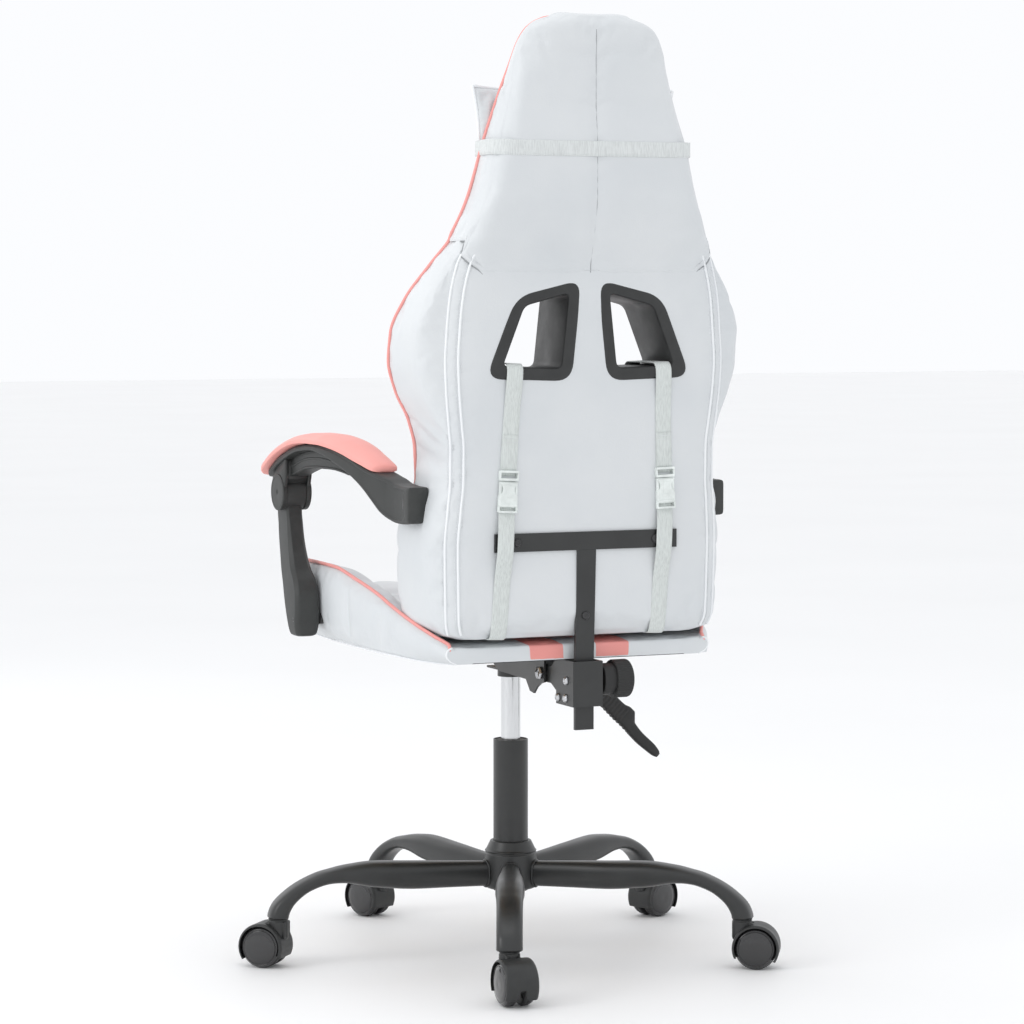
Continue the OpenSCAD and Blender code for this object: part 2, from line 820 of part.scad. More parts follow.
// z, y, half width, half depth: from the foot up to the knuckle
post_stations = [
    [459.5, -131.5, 12, 13],
    [463, -131.6, 15.5, 17],
    [470, -131.9, 17.5, 17.8],
    [476, -132.3, 18.5, 19.3],
    [492, -134, 19.2, 23.7],
    [508, -137.2, 19, 27],
    [524, -141, 18.5, 28.9],
    [540, -149.2, 17.5, 28.2],
    [555, -161.2, 16, 25],
    [571, -169.3, 14.5, 23.8],
    [587, -175.4, 13.5, 23.2],
    [603, -179.9, 12.7, 22.8],
    [620, -183, 12.2, 22],
    [636, -186, 12, 21.4],
    [652, -186, 12, 18]
];
post_edge = 4.5;            // bevel along the post's corners
eye_half = 14.9;            // half width of the post's eye in the knuckle

function bevelled_ring(a, b, c) = [
    [a, c - b], [a, b - c], [a - c, b], [c - a, b], [-a, b - c], [-a, c - b], [c - a, -b], [a - c, -b]
];

module arm_post() {
    color(plastic)
        difference() {
            union() {
                loft([
                    for (s = post_stations)
                        [for (p = bevelled_ring(s[2], s[3], post_edge)) [arm_x + 0.5 + p[0], s[1] + p[1], s[0]]]
                ]);
                translate([arm_x - eye_half, 0, 0])
                    along_x(arm_knuckle[0], arm_knuckle[1]) cylinder(h = 2 * eye_half, r = knuckle_d / 2 - 1.5);
            }
            translate([200, 0, 0]) {
                along_x(arm_knuckle[0], arm_knuckle[1]) cylinder(h = 120, r = pin_r + run_fit);
                along_x(arm_low[0], arm_low[1]) cylinder(h = 120, r = pin_r + run_fit);
            }
            translate([279.5, 0, 0]) along_x(arm_low[0], arm_low[1]) cylinder(h = 30, r = 8.5);
        }
}

module knuckle_pin() {
    color(steel)
        translate([arm_x - 20, 0, 0]) along_x(arm_knuckle[0], arm_knuckle[1]) cylinder(h = 40, r = pin_r);
}

// x, y, z, dip, half width, half height: from the front tip back to the rear block
beam_stations = [
    [268.5, -221, 688, -26, 18, 3.4],
    [268.5, -212, 692.3, -26, 23, 4.5],
    [268.5, -200, 698.2, -26, 24, 4.5],
    [268.5, -183, 706.4, -25, 24, 4.6],
    [268.5, -165, 713.5, -21, 24, 4.6],
    [268.3, -146, 719.3, -17.5, 24, 4.6],
    [267.3, -122, 726.4, -13.7, 24, 4.6],
    [266, -98, 731.1, -8.7, 24, 4.6],
    [263.5, -56, 734.3, -1, 23.5, 4.8],
    [260, -20, 731.5, 5, 23, 7],
    [255, 13, 724, 10, 22, 10.5],
    [249, 42, 714.5, 15, 21, 12.8],
    [244, 66, 704, 18, 20, 14.5],
    [240, 83, 695, 18, 19, 17],
    [235.5, 104, 684, 14, 18, 22],
    [232.5, 120, 676, 8, 17, 25.8],
    [229.5, 134, 671, 3, 16.5, 27.2],
    [226.5, 154, 665.8, 0, 16, 26.8],
    [rear_block_x, 175, 664.5, 0, 16, 26],
    [rear_block_x, 195, 665.4, 0, 16, 24.8],
    [rear_block_x, 200, 665.6, 0, 14.5, 23]
];

// The narrower rib under the front of the beam, in the same columns
rib_stations = [
    [266, -172, 697.5, 0, 12, 8.5],
    [266, -150, 702.2, 0, 13, 13.8],
    [265, -122, 710.2, 0, 13, 14.8],
    [263.5, -90, 716.5, 0, 13, 14.5],
    [261, -50, 718.5, 0, 13, 14.5],
    [256, -8, 715.5, 0, 13, 11.5],
    [250, 28, 709, 0, 13, 9],
    [244.5, 56, 699.3, 0, 13, 6.8]
];

// [y, z] of the saddle that joins the knuckle's cheeks to the beam
saddle_outline = [
    [-204, 674], [-158, 674], [-150, 690], [-150, 716], [-165, 711], [-183, 702], [-204, 689]
];

module arm_beam() {
    cheek_in = eye_half + 0.2;
    color(plastic)
        difference() {
            union() {
                loft([for (s = beam_stations) path_ring(s, 0.4, 16)]);
                loft([for (s = rib_stations) path_ring(s, 0.3, 12)]);
                translate([arm_x - 22, 0, 0])
                    along_x(arm_knuckle[0], arm_knuckle[1]) cylinder(h = 44, r = knuckle_d / 2);
                yz_sheet(saddle_outline, arm_x, 40);
            }
            translate([arm_x - cheek_in, arm_knuckle[0] - 40, arm_knuckle[1] - 60])
                cube([2 * cheek_in, 80, 60]);
            translate([arm_x - cheek_in, 0, 0])
                along_x(arm_knuckle[0], arm_knuckle[1]) cylinder(h = 2 * cheek_in, r = knuckle_d / 2);
            translate([200, 0, 0]) {
                along_x(arm_knuckle[0], arm_knuckle[1]) cylinder(h = 120, r = pin_r + close_fit);
                along_x(arm_rear[0], arm_rear[1]) cylinder(h = 120, r = pin_r + open_pivot_gap);
            }
            translate([233.5, 0, 0]) along_x(arm_rear[0], arm_rear[1]) cylinder(h = 30, r = 11);
        }
}

// x, y, z of the underside, dip, half width, thickness
pad_stations = [
    [268.5, -233, 687.2, -26, 20, 7],
    [268.5, -226, 690.6, -26, 29, 12],
    [268.5, -212, 697.4, -26, 32.5, 14.5],
    [268.5, -200, 703.3, -26, 33, 15],
    [268.5, -183, 711.5, -25, 33, 15.5],
    [268.5, -165, 718.6, -21, 33, 15.5],
    [268.3, -146, 724.8, -17, 33, 15.5],
    [267.3, -122, 731.4, -13.7, 33, 15.5],
    [266, -98, 736, -8.7, 33.5, 15.5],
    [263.5, -56, 739.3, -1, 33.5, 15.5],
    [260, -20, 738.8, 5, 32.5, 15.5],
    [255, 13, 735, 10, 31, 15.5],
    [249.5, 42, 728.2, 15, 28.5, 15],
    [245, 66, 720, 18, 25.5, 14],
    [241, 83, 714, 18, 23, 12.5],
    [237, 100, 708, 18, 20.5, 10],
    [236, 105, 706.5, 18, 15, 6]
];

function pad_ring(s) = [
    for (p = rounded_ring(s[4], s[5] / 2, 0.65, 16))
        let (v = p[1] + s[5] / 2 + skin_gap)
            [s[0] - p[0], s[1] + v * sin(s[3]), s[2] + v * cos(s[3])]
];

module arm_pad() {
    color(pink)
        difference() {
            loft([for (s = pad_stations) pad_ring(s)]);
            loft([for (s = beam_stations) path_ring(s + [0, 0, 0, 0, 0.4, 0.4], 0.4, 16)]);
        }
}

module on_side(side) {
    mirror([side < 0 ? 1 : 0, 0, 0]) children();
}

base_hub();
base_legs();
caster_stems();
caster_hood(1);  // caster_hood_1
caster_hood(2);  // caster_hood_2
caster_hood(3);  // caster_hood_3
caster_hood(4);  // caster_hood_4
caster_hood(5);  // caster_hood_5
caster_wheels(1);  // caster_wheels_1
caster_wheels(2);  // caster_wheels_2
caster_wheels(3);  // caster_wheels_3
caster_wheels(4);  // caster_wheels_4
caster_wheels(5);  // caster_wheels_5
caster_axle(1);  // caster_axle_1
caster_axle(2);  // caster_axle_2
caster_axle(3);  // caster_axle_3
caster_axle(4);  // caster_axle_4
caster_axle(5);  // caster_axle_5
lift_tube();
lift_bush();
piston_rod();
thrust_bearing();
gas_cylinder();
valve_pin();
mech_plate();
taper_socket();
lever_rod();
lever_grip();
pivot_axle();
seat_bolts();
seat_board();
seat_cushion();
arm_brackets();
post_pivot_bolts();
back_bracket();
bracket_bolts();
clamp_knob();
back_bar();
back_crossbar();
back_bolts();
back_frame();
back_cushion();
window_bezel(1);  // window_bezel_left
window_bezel(-1);  // window_bezel_right
head_pillow();
head_strap();
lumbar_pillow();
lumbar_strap(left_strap_x, left_leans);  // lumbar_strap_left
lumbar_strap(right_strap_x, right_leans);  // lumbar_strap_right
buckle(left_strap_x, left_leans);  // buckle_left
buckle(right_strap_x, right_leans);  // buckle_right
arm_rear_bolts();
on_side(1) arm_post();  // arm_post_left
on_side(-1) arm_post();  // arm_post_right
on_side(1) arm_beam();  // arm_beam_left
on_side(-1) arm_beam();  // arm_beam_right
on_side(1) arm_pad();  // arm_pad_left
on_side(-1) arm_pad();  // arm_pad_right
on_side(1) knuckle_pin();  // knuckle_pin_left
on_side(-1) knuckle_pin();  // knuckle_pin_right
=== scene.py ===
import math

import bmesh
import bpy
import numpy as np
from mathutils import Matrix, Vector


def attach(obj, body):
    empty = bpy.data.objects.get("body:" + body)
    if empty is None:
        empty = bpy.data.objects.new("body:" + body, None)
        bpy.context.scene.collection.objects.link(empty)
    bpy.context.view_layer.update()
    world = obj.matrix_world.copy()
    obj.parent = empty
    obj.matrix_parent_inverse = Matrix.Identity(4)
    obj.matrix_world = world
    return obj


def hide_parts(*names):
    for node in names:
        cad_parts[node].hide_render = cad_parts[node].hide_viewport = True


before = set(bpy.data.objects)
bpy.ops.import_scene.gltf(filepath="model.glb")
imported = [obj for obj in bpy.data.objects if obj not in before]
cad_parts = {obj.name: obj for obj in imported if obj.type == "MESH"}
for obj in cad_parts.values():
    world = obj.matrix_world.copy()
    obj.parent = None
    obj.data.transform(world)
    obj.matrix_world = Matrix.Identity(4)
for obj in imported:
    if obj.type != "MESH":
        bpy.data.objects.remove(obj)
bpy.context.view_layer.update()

MM = 0.001


# ---------------------------------------------------------------- materials

def new_material(name, colour, roughness, metallic=0.0, coat=0.0, coat_roughness=0.1, specular=0.5):
    """A material with its uniform values on the shader, and the pieces that the detail hooks on to."""
    mat = bpy.data.materials.new(name)
    mat.use_nodes = True
    nodes = mat.node_tree.nodes
    links = mat.node_tree.links
    bsdf = nodes["Principled BSDF"]
    bsdf.inputs["Base Color"].default_value = (*colour, 1)
    bsdf.inputs["Roughness"].default_value = roughness
    bsdf.inputs["Metallic"].default_value = metallic
    bsdf.inputs["Coat Weight"].default_value = coat
    bsdf.inputs["Coat Roughness"].default_value = coat_roughness
    bsdf.inputs["Specular IOR Level"].default_value = specular
    place = nodes.new("ShaderNodeTexCoord")
    return mat, nodes, links, bsdf, place.outputs["Object"]


def noise_of(nodes, links, place, scale, detail=3.0, roughness=0.5):
    """Soft noise from 0 to 1, with that many cells to the metre."""
    tex = nodes.new("ShaderNodeTexNoise")
    tex.inputs["Scale"].default_value = scale
    tex.inputs["Detail"].default_value = detail
    tex.inputs["Roughness"].default_value = roughness
    links.new(place, tex.inputs["Vector"])
    return tex.outputs["Fac"]


def cells_of(nodes, links, place, scale, feature="F1", randomness=1.0):
    """The distance to the nearest of that many cells to the metre."""
    tex = nodes.new("ShaderNodeTexVoronoi")
    tex.feature = feature
    tex.inputs["Scale"].default_value = scale
    tex.inputs["Randomness"].default_value = randomness
    links.new(place, tex.inputs["Vector"])
    return tex.outputs["Distance"]


def stretched(nodes, links, place, scale):
    """The coordinates scaled by a different amount along each axis."""
    mapping = nodes.new("ShaderNodeMapping")
    mapping.inputs["Scale"].default_value = scale
    links.new(place, mapping.inputs["Vector"])
    return mapping.outputs["Vector"]


def ramp_of(nodes, links, value, stops):
    """A colour ramp through (position, (r, g, b)) stops."""
    ramp = nodes.new("ShaderNodeValToRGB")
    elements = ramp.color_ramp.elements
    while len(elements) < len(stops):
        elements.new(0.5)
    for element, (position, colour) in zip(elements, stops):
        element.position = position
        element.color = (*colour, 1)
    links.new(value, ramp.inputs["Fac"])
    return ramp.outputs["Color"]


def range_of(nodes, links, value, low, high, from_low=0.0, from_high=1.0):
    remap = nodes.new("ShaderNodeMapRange")
    remap.inputs["From Min"].default_value = from_low
    remap.inputs["From Max"].default_value = from_high
    remap.inputs["To Min"].default_value = low
    remap.inputs["To Max"].default_value = high
    links.new(value, remap.inputs["Value"])
    return remap.outputs["Result"]


def math_of(nodes, links, operation, a, b):
    node = nodes.new("ShaderNodeMath")
    node.operation = operation
    for socket, value in zip(node.inputs, (a, b)):
        if isinstance(value, (int, float)):
            socket.default_value = value
        else:
            links.new(value, socket)
    return node.outputs["Value"]


def add_bumps(nodes, links, bsdf, bumps):
    """Chains (height, strength, distance in metres) bumps into the shader's normal."""
    normal = None
    for height, strength, distance in bumps:
        bump = nodes.new("ShaderNodeBump")
        bump.inputs["Strength"].default_value = strength
        bump.inputs["Distance"].default_value = distance
        links.new(height, bump.inputs["Height"])
        if normal is not None:
            links.new(normal, bump.inputs["Normal"])
        normal = bump.outputs["Normal"]
    links.new(normal, bsdf.inputs["Normal"])


def leather(name, colour, shade, roughness=0.46):
    """Faux leather: fine pebbled grain, faint creasing, soft blotches of shade and gloss."""
    mat, nodes, links, bsdf, place = new_material(name, colour, roughness, specular=0.45)
    blotch = noise_of(nodes, links, place, 7.0, 4.0)
    tone = ramp_of(nodes, links, blotch, [(0.3, shade), (0.62, colour)])
    links.new(tone, bsdf.inputs["Base Color"])
    gloss = noise_of(nodes, links, place, 26.0, 3.0)
    links.new(range_of(nodes, links, gloss, roughness - 0.06, roughness + 0.07, 0.3, 0.7),
              bsdf.inputs["Roughness"])
    grain = cells_of(nodes, links, place, 620.0, "SMOOTH_F1")
    crease = noise_of(nodes, links, stretched(nodes, links, place, (1.0, 1.0, 0.55)), 60.0, 5.0, 0.62)
    add_bumps(nodes, links, bsdf, [(crease, 0.10, 0.0016), (grain, 0.30, 0.0003)])
    return mat


def moulded_plastic(name, colour, roughness=0.5, grain_scale=900.0, grain=0.25):
    """Moulded plastic with a fine spark-eroded grain and slight scuffs."""
    mat, nodes, links, bsdf, place = new_material(name, colour, roughness, specular=0.5)
    worn = noise_of(nodes, links, place, 34.0, 6.0, 0.62)
    lighter = tuple(min(1.0, c * 1.28 + 0.004) for c in colour)
    links.new(ramp_of(nodes, links, worn, [(0.42, colour), (0.72, lighter)]), bsdf.inputs["Base Color"])
    links.new(range_of(nodes, links, worn, roughness - 0.05, roughness + 0.09, 0.3, 0.7),
              bsdf.inputs["Roughness"])
    pits = cells_of(nodes, links, place, grain_scale)
    add_bumps(nodes, links, bsdf, [(pits, grain, 0.0002)])
    return mat


def powder_coat(name, colour, roughness=0.38):
    """Satin powder coat: orange peel and a little dust in the shade of it."""
    mat, nodes, links, bsdf, place = new_material(name, colour, roughness, coat=0.25, coat_roughness=0.32)
    peel = noise_of(nodes, links, place, 420.0, 2.0)
    dust = noise_of(nodes, links, place, 14.0, 6.0, 0.6)
    lighter = tuple(c * 1.35 + 0.004 for c in colour)
    links.new(ramp_of(nodes, links, dust, [(0.42, colour), (0.75, lighter)]), bsdf.inputs["Base Color"])
    links.new(range_of(nodes, links, dust, roughness - 0.05, roughness + 0.1, 0.3, 0.75),
              bsdf.inputs["Roughness"])
    add_bumps(nodes, links, bsdf, [(peel, 0.12, 0.0004)])
    return mat


def gloss_nylon(name, colour):
    """Polished black nylon with hairline scratches."""
    mat, nodes, links, bsdf, place = new_material(name, colour, 0.16, coat=0.6, coat_roughness=0.06)
    scuff = noise_of(nodes, links, stretched(nodes, links, place, (1.0, 6.0, 1.0)), 120.0, 5.0, 0.7)
    links.new(range_of(nodes, links, scuff, 0.10, 0.30, 0.42, 0.72), bsdf.inputs["Roughness"])
    lighter = tuple(c * 1.5 + 0.003 for c in colour)
    links.new(ramp_of(nodes, links, scuff, [(0.45, colour), (0.8, lighter)]), bsdf.inputs["Base Color"])
    add_bumps(nodes, links, bsdf, [(scuff, 0.05, 0.0002)])
    return mat


def bright_metal(name, colour, roughness, brush=(1.0, 1.0, 40.0)):
    """Bare or plated steel with fine lines of polish."""
    mat, nodes, links, bsdf, place = new_material(name, colour, roughness, metallic=1.0)
    lines = noise_of(nodes, links, stretched(nodes, links, place, brush), 60.0, 4.0, 0.6)
    links.new(range_of(nodes, links, lines, roughness * 0.7, roughness * 1.5, 0.3, 0.7),
              bsdf.inputs["Roughness"])
    darker = tuple(c * 0.82 for c in colour)
    links.new(ramp_of(nodes, links, lines, [(0.35, darker), (0.6, colour)]), bsdf.inputs["Base Color"])
    add_bumps(nodes, links, bsdf, [(lines, 0.04, 0.0002)])
    return mat


def plywood(name):
    mat, nodes, links, bsdf, place = new_material(name, (0.50, 0.35, 0.20), 0.62)
    rings = noise_of(nodes, links, stretched(nodes, links, place, (22.0, 1.6, 22.0)), 3.0, 6.0, 0.6)
    tone = ramp_of(nodes, links, rings, [(0.35, (0.36, 0.23, 0.12)), (0.55, (0.54, 0.38, 0.22)),
                                         (0.7, (0.62, 0.47, 0.30))])
    links.new(tone, bsdf.inputs["Base Color"])
    add_bumps(nodes, links, bsdf, [(rings, 0.2, 0.0004)])
    return mat


def webbing(name, colour):
    """Woven strap: a twill of ribs, with the yarns slightly uneven in shade."""
    mat, nodes, links, bsdf, place = new_material(name, colour, 0.72, specular=0.3)
    bsdf.inputs["Sheen Weight"].default_value = 0.25
    waves = []
    for angle in (35.0, -35.0):
        turn = nodes.new("ShaderNodeMapping")
        turn.inputs["Rotation"].default_value = (0.0, math.radians(angle), 0.0)
        links.new(place, turn.inputs["Vector"])
        wave = nodes.new("ShaderNodeTexWave")
        wave.wave_profile = "SIN"
        wave.bands_direction = "Z"
        wave.inputs["Scale"].default_value = 190.0
        links.new(turn.outputs["Vector"], wave.inputs["Vector"])
        waves.append(wave.outputs["Fac"])
    weave = math_of(nodes, links, "MULTIPLY", waves[0], waves[1])
    yarn = noise_of(nodes, links, stretched(nodes, links, place, (9.0, 9.0, 1.0)), 90.0, 3.0)
    darker = tuple(c * 0.86 for c in colour)
    links.new(ramp_of(nodes, links, yarn, [(0.35, darker), (0.6, colour)]), bsdf.inputs["Base Color"])
    add_bumps(nodes, links, bsdf, [(weave, 0.55, 0.0006), (yarn, 0.15, 0.0003)])
    return mat


def dust_cover(name):
    """Black non-woven cloth, as stapled under a seat."""
    mat, nodes, links, bsdf, place = new_material(name, (0.02, 0.02, 0.021), 0.95, specular=0.2)
    dimples = cells_of(nodes, links, place, 420.0, randomness=0.15)
    fuzz = noise_of(nodes, links, place, 900.0, 2.0)
    links.new(ramp_of(nodes, links, fuzz, [(0.3, (0.012, 0.012, 0.013)), (0.7, (0.035, 0.035, 0.037))]),
              bsdf.inputs["Base Color"])
    add_bumps(nodes, links, bsdf, [(dimples, 0.6, 0.0005), (fuzz, 0.3, 0.0002)])
    return mat


WHITE = (0.69, 0.712, 0.725)
WHITE_SHADE = (0.645, 0.672, 0.69)
PINK = (0.93, 0.40, 0.36)
PATCH_PINK = (0.84, 0.33, 0.30)

MATS = {
    "white_leather": leather("white_leather", WHITE, WHITE_SHADE),
    "pink_leather": leather("pink_leather", PINK, (0.88, 0.36, 0.32)),
    "patch_leather": leather("patch_leather", PATCH_PINK, (0.78, 0.29, 0.26)),
    "pink_piping": leather("pink_piping", (0.90, 0.37, 0.34), (0.86, 0.34, 0.31), 0.5),
    "white_piping": leather("white_piping", (0.88, 0.90, 0.91), (0.84, 0.86, 0.88), 0.5),
    "thread": moulded_plastic("thread", (0.66, 0.68, 0.69), 0.6, 1500.0, 0.4),
    "seam_shadow": moulded_plastic("seam_shadow", (0.30, 0.31, 0.32), 0.8, 1500.0, 0.3),
    "arm_plastic": moulded_plastic("arm_plastic", (0.030, 0.032, 0.031), 0.47),
    "bezel_plastic": moulded_plastic("bezel_plastic", (0.022, 0.023, 0.023), 0.45),
    "black_plastic": moulded_plastic("black_plastic", (0.020, 0.020, 0.020), 0.5),
    "hood_plastic": moulded_plastic("hood_plastic", (0.021, 0.022, 0.022), 0.42),
    "buckle_plastic": moulded_plastic("buckle_plastic", (0.70, 0.74, 0.72), 0.38, 1200.0, 0.12),
    "wheel_nylon": moulded_plastic("wheel_nylon", (0.017, 0.017, 0.018), 0.34, 1100.0, 0.15),
    "knob_plastic": moulded_plastic("knob_plastic", (0.013, 0.013, 0.013), 0.5),
    "gloss_nylon": gloss_nylon("gloss_nylon", (0.014, 0.014, 0.015)),
    "black_metal": powder_coat("black_metal", (0.014, 0.015, 0.015)),
    "bright_steel": bright_metal("bright_steel", (0.74, 0.75, 0.76), 0.20, (40.0, 40.0, 1.0)),
    "zinc_steel": bright_metal("zinc_steel", (0.62, 0.63, 0.65), 0.30, (8.0, 8.0, 8.0)),
    "black_screw": powder_coat("black_screw", (0.016, 0.016, 0.017), 0.28),
    "bush_plastic": moulded_plastic("bush_plastic", (0.03, 0.03, 0.03), 0.5),
    "plywood": plywood("plywood"),
    "webbing": webbing("webbing", (0.70, 0.74, 0.72)),
    "elastic": webbing("elastic", (0.74, 0.77, 0.765)),
    "dust_cover": dust_cover("dust_cover"),
}


# ---------------------------------------------------------------- mesh helpers, which work in millimetres

def piece_of(name, verts, faces, mats, face_mats=None):
    """A mesh object from points in millimetres. Its outward side is made consistent."""
    mesh = bpy.data.meshes.new(name)
    mesh.from_pydata((np.asarray(verts, float) * MM).tolist(), [], faces)
    for mat in mats:
        mesh.materials.append(MATS[mat])
    if face_mats is not None:
        mesh.polygons.foreach_set("material_index", face_mats)
    obj = bpy.data.objects.new(name, mesh)
    bpy.context.scene.collection.objects.link(obj)
    grid = bmesh.new()
    grid.from_mesh(mesh)
    bmesh.ops.triangulate(grid, faces=[face for face in grid.faces if len(face.verts) > 4])
    bmesh.ops.recalc_face_normals(grid, faces=grid.faces)
    grid.to_mesh(mesh)
    grid.free()
    mesh.shade_smooth()
    return obj


def joined(name, parts, mats):
    """One object out of (verts, faces, material number) parts."""
    verts = []
    faces = []
    face_mats = []
    for part_verts, part_faces, mat in parts:
        start = len(verts)
        verts.extend(np.asarray(part_verts, float).tolist())
        faces.extend([[start + i for i in face] for face in part_faces])
        face_mats.extend([mat] * len(part_faces))
    return piece_of(name, verts, faces, mats, face_mats)


def skin(rings, caps=True):
    """Points and faces through closed rings that all have the same number of points."""
    rings = np.asarray(rings, float)
    rows, count = rings.shape[:2]
    faces = []
    for row in range(rows - 1):
        for i in range(count):
            a = row * count + i
            b = row * count + (i + 1) % count
            faces.append([a, b, b + count, a + count])
    if caps:
        faces.append(list(range(count))[::-1])
        faces.append(list(range((rows - 1) * count, rows * count)))
    return rings.reshape(-1, 3), faces


def skin_in_a_circle(rings):
    """The same where the last ring joins the first one again, as round a lathe's profile."""
    rings = np.asarray(rings, float)
    verts, faces = skin(np.concatenate([rings, rings[:1]]), caps=False)
    keep = len(verts) - len(rings[0])
    return verts[:keep], [[i % keep for i in face] for face in faces]


def hermite(t, h, start, end, start_slope, end_slope):
    """The cubic that leaves start and reaches end with those slopes, where t runs from 0 to 1 over h."""
    return ((2 * t**3 - 3 * t**2 + 1) * start + (t**3 - 2 * t**2 + t) * h * start_slope
            + (-2 * t**3 + 3 * t**2) * end + (t**3 - t**2) * h * end_slope)


def smooth_table(table):
    """A function of the first column that runs smoothly through the other columns, with no overshoot."""
    table = np.array(table, float)
    x, y = table[:, 0], table[:, 1:]
    step = np.diff(x)[:, None]
    slope = np.diff(y, axis=0) / step
    ahead, behind = slope[1:], slope[:-1]
    same_way = ahead * behind > 0
    total = np.where(same_way, ahead + behind, 1.0)
    inner = np.where(same_way, 2 * ahead * behind / total, 0.0)
    tangent = np.vstack([slope[:1], inner, slope[-1:]])

    def at(value):
        value = np.clip(np.atleast_1d(np.asarray(value, float)), x[0], x[-1])
        k = np.clip(np.searchsorted(x, value, side="right") - 1, 0, len(x) - 2)
        t = (value - x[k])[:, None] / step[k]
        return hermite(t, step[k], y[k], y[k + 1], tangent[k], tangent[k + 1])

    return at


def run_along(points):
    """The distance along a line at each of its points."""
    return np.concatenate([[0], np.cumsum(np.linalg.norm(np.diff(points, axis=0), axis=1))])


def resampled(points, count):
    """The same line with evenly spaced points."""
    points = np.asarray(points, float)
    run = run_along(points)
    where = np.linspace(0, run[-1], count)
    return np.stack([np.interp(where, run, points[:, axis]) for axis in range(points.shape[1])], axis=1)


def curve_through(points, count):
    """A smooth line through points that are spread fairly evenly."""
    points = np.asarray(points, float)
    run = run_along(points)
    padded = np.vstack([2 * points[0] - points[1], points, 2 * points[-1] - points[-2]])
    tangents = (padded[2:] - padded[:-2]) / np.maximum(1e-9, np.gradient(run))[:, None] / 2
    where = np.linspace(0, run[-1], count)
    k = np.clip(np.searchsorted(run, where, side="right") - 1, 0, len(run) - 2)
    h = np.diff(run)[k][:, None]
    t = (where - run[k])[:, None] / h
    return hermite(t, h, points[k], points[k + 1], tangents[k], tangents[k + 1])


def frames_along(points, closed=False):
    """Tangent, side and up at each point of a line, carried along without twisting."""
    points = np.asarray(points, float)
    if closed:
        tangents = np.roll(points, -1, axis=0) - np.roll(points, 1, axis=0)
    else:
        tangents = np.gradient(points, axis=0)
    tangents /= np.linalg.norm(tangents, axis=1)[:, None]
    side = np.cross(tangents[0], [0.0, 0.0, 1.0])
    if np.linalg.norm(side) < 0.2:
        side = np.cross(tangents[0], [1.0, 0.0, 0.0])
    sides = []
    for tangent in tangents:
        side = side - tangent * np.dot(side, tangent)
        side = side / np.linalg.norm(side)
        sides.append(side)
    sides = np.array(sides)
    return tangents, sides, np.cross(sides, tangents)


def tube(points, radius, sides=10, closed=False, flat=1.0):
    """A round cord along a line: a closed loop, or a length with small domes at its ends."""
    points = np.asarray(points, float)
    tangents, across, up = frames_along(points, closed)
    angle = np.arange(sides) * 2 * math.pi / sides
    circle = np.stack([np.cos(angle), np.sin(angle) * flat], axis=1) * radius
    rings = points[:, None] + circle[None, :, :1] * across[:, None] + circle[None, :, 1:] * up[:, None]
    if closed:
        return skin_in_a_circle(rings)
    ends = []
    for end, way in ((0, -1), (-1, 1)):
        near = points[end] + (rings[end] - points[end]) * 0.8 + way * tangents[end] * radius * 0.5
        far = points[end] + (rings[end] - points[end]) * 0.35 + way * tangents[end] * radius * 0.85
        ends.append((near, far))
    stack = [ends[0][1], ends[0][0], *rings, ends[1][0], ends[1][1]]
    return skin(stack)


def lathe(profile, segments, frame_matrix=None):
    """A closed outline of (radius, height) points turned round local Z, then placed."""
    angle = np.arange(segments) * 2 * math.pi / segments
    rings = [np.column_stack([radius * np.cos(angle), radius * np.sin(angle), np.full(segments, height)])
             for radius, height in profile]
    verts, faces = skin_in_a_circle(rings)
    return placed(verts, frame_matrix), faces


def placed(verts, frame_matrix):
    """Points moved by a 4 x 4 matrix that works in millimetres."""
    if frame_matrix is None:
        return verts
    matrix = np.array(frame_matrix)
    return np.asarray(verts) @ matrix[:3, :3].T + matrix[:3, 3]


def axes_at(origin, x_axis, y_axis, z_axis):
    """The 4 x 4 matrix of a place with those axes."""
    matrix = np.eye(4)
    matrix[:3, 0], matrix[:3, 1], matrix[:3, 2] = x_axis, y_axis, z_axis
    matrix[:3, 3] = origin
    return matrix


def along_x(x, y, z, way=1):
    """Local Z points along +X or -X."""
    return axes_at((x, y, z), (0, way, 0), (0, 0, 1), (way, 0, 0))


def eased_corner(before, here, after, radius, steps):
    """Points round one corner of a line, within the radius and within the half of each side."""
    to_before, to_after = before - here, after - here
    reach = min(radius, 0.45 * np.linalg.norm(to_before), 0.45 * np.linalg.norm(to_after))
    start = here + to_before / np.linalg.norm(to_before) * reach
    end = here + to_after / np.linalg.norm(to_after) * reach
    return [(1 - t)**2 * start + 2 * t * (1 - t) * here + t**2 * end for t in np.linspace(0, 1, steps + 1)]


def rounded_outline(corners, radius, steps=3):
    """A closed outline with its corners eased."""
    corners = np.asarray(corners, float)
    out = []
    for before, here, after in zip(np.roll(corners, 1, axis=0), corners, np.roll(corners, -1, axis=0)):
        out.extend(eased_corner(before, here, after, radius, steps))
    return np.array(out)


def rounded_line(points, radius):
    """An open line with its corners eased."""
    points = np.asarray(points, float)
    out = [points[0]]
    for before, here, after in zip(points[:-2], points[1:-1], points[2:]):
        out.extend(eased_corner(before, here, after, radius, 5))
    out.append(points[-1])
    return np.array(out)


def superellipse(half_u, half_v, power, count):
    """An oval at power 1, and squarer as the power falls."""
    angle = (np.arange(count) + 0.5) * 2 * math.pi / count
    u = half_u * np.sign(np.cos(angle)) * np.abs(np.cos(angle))**power
    v = half_v * np.sign(np.sin(angle)) * np.abs(np.sin(angle))**power
    return np.stack([u, v], axis=1)


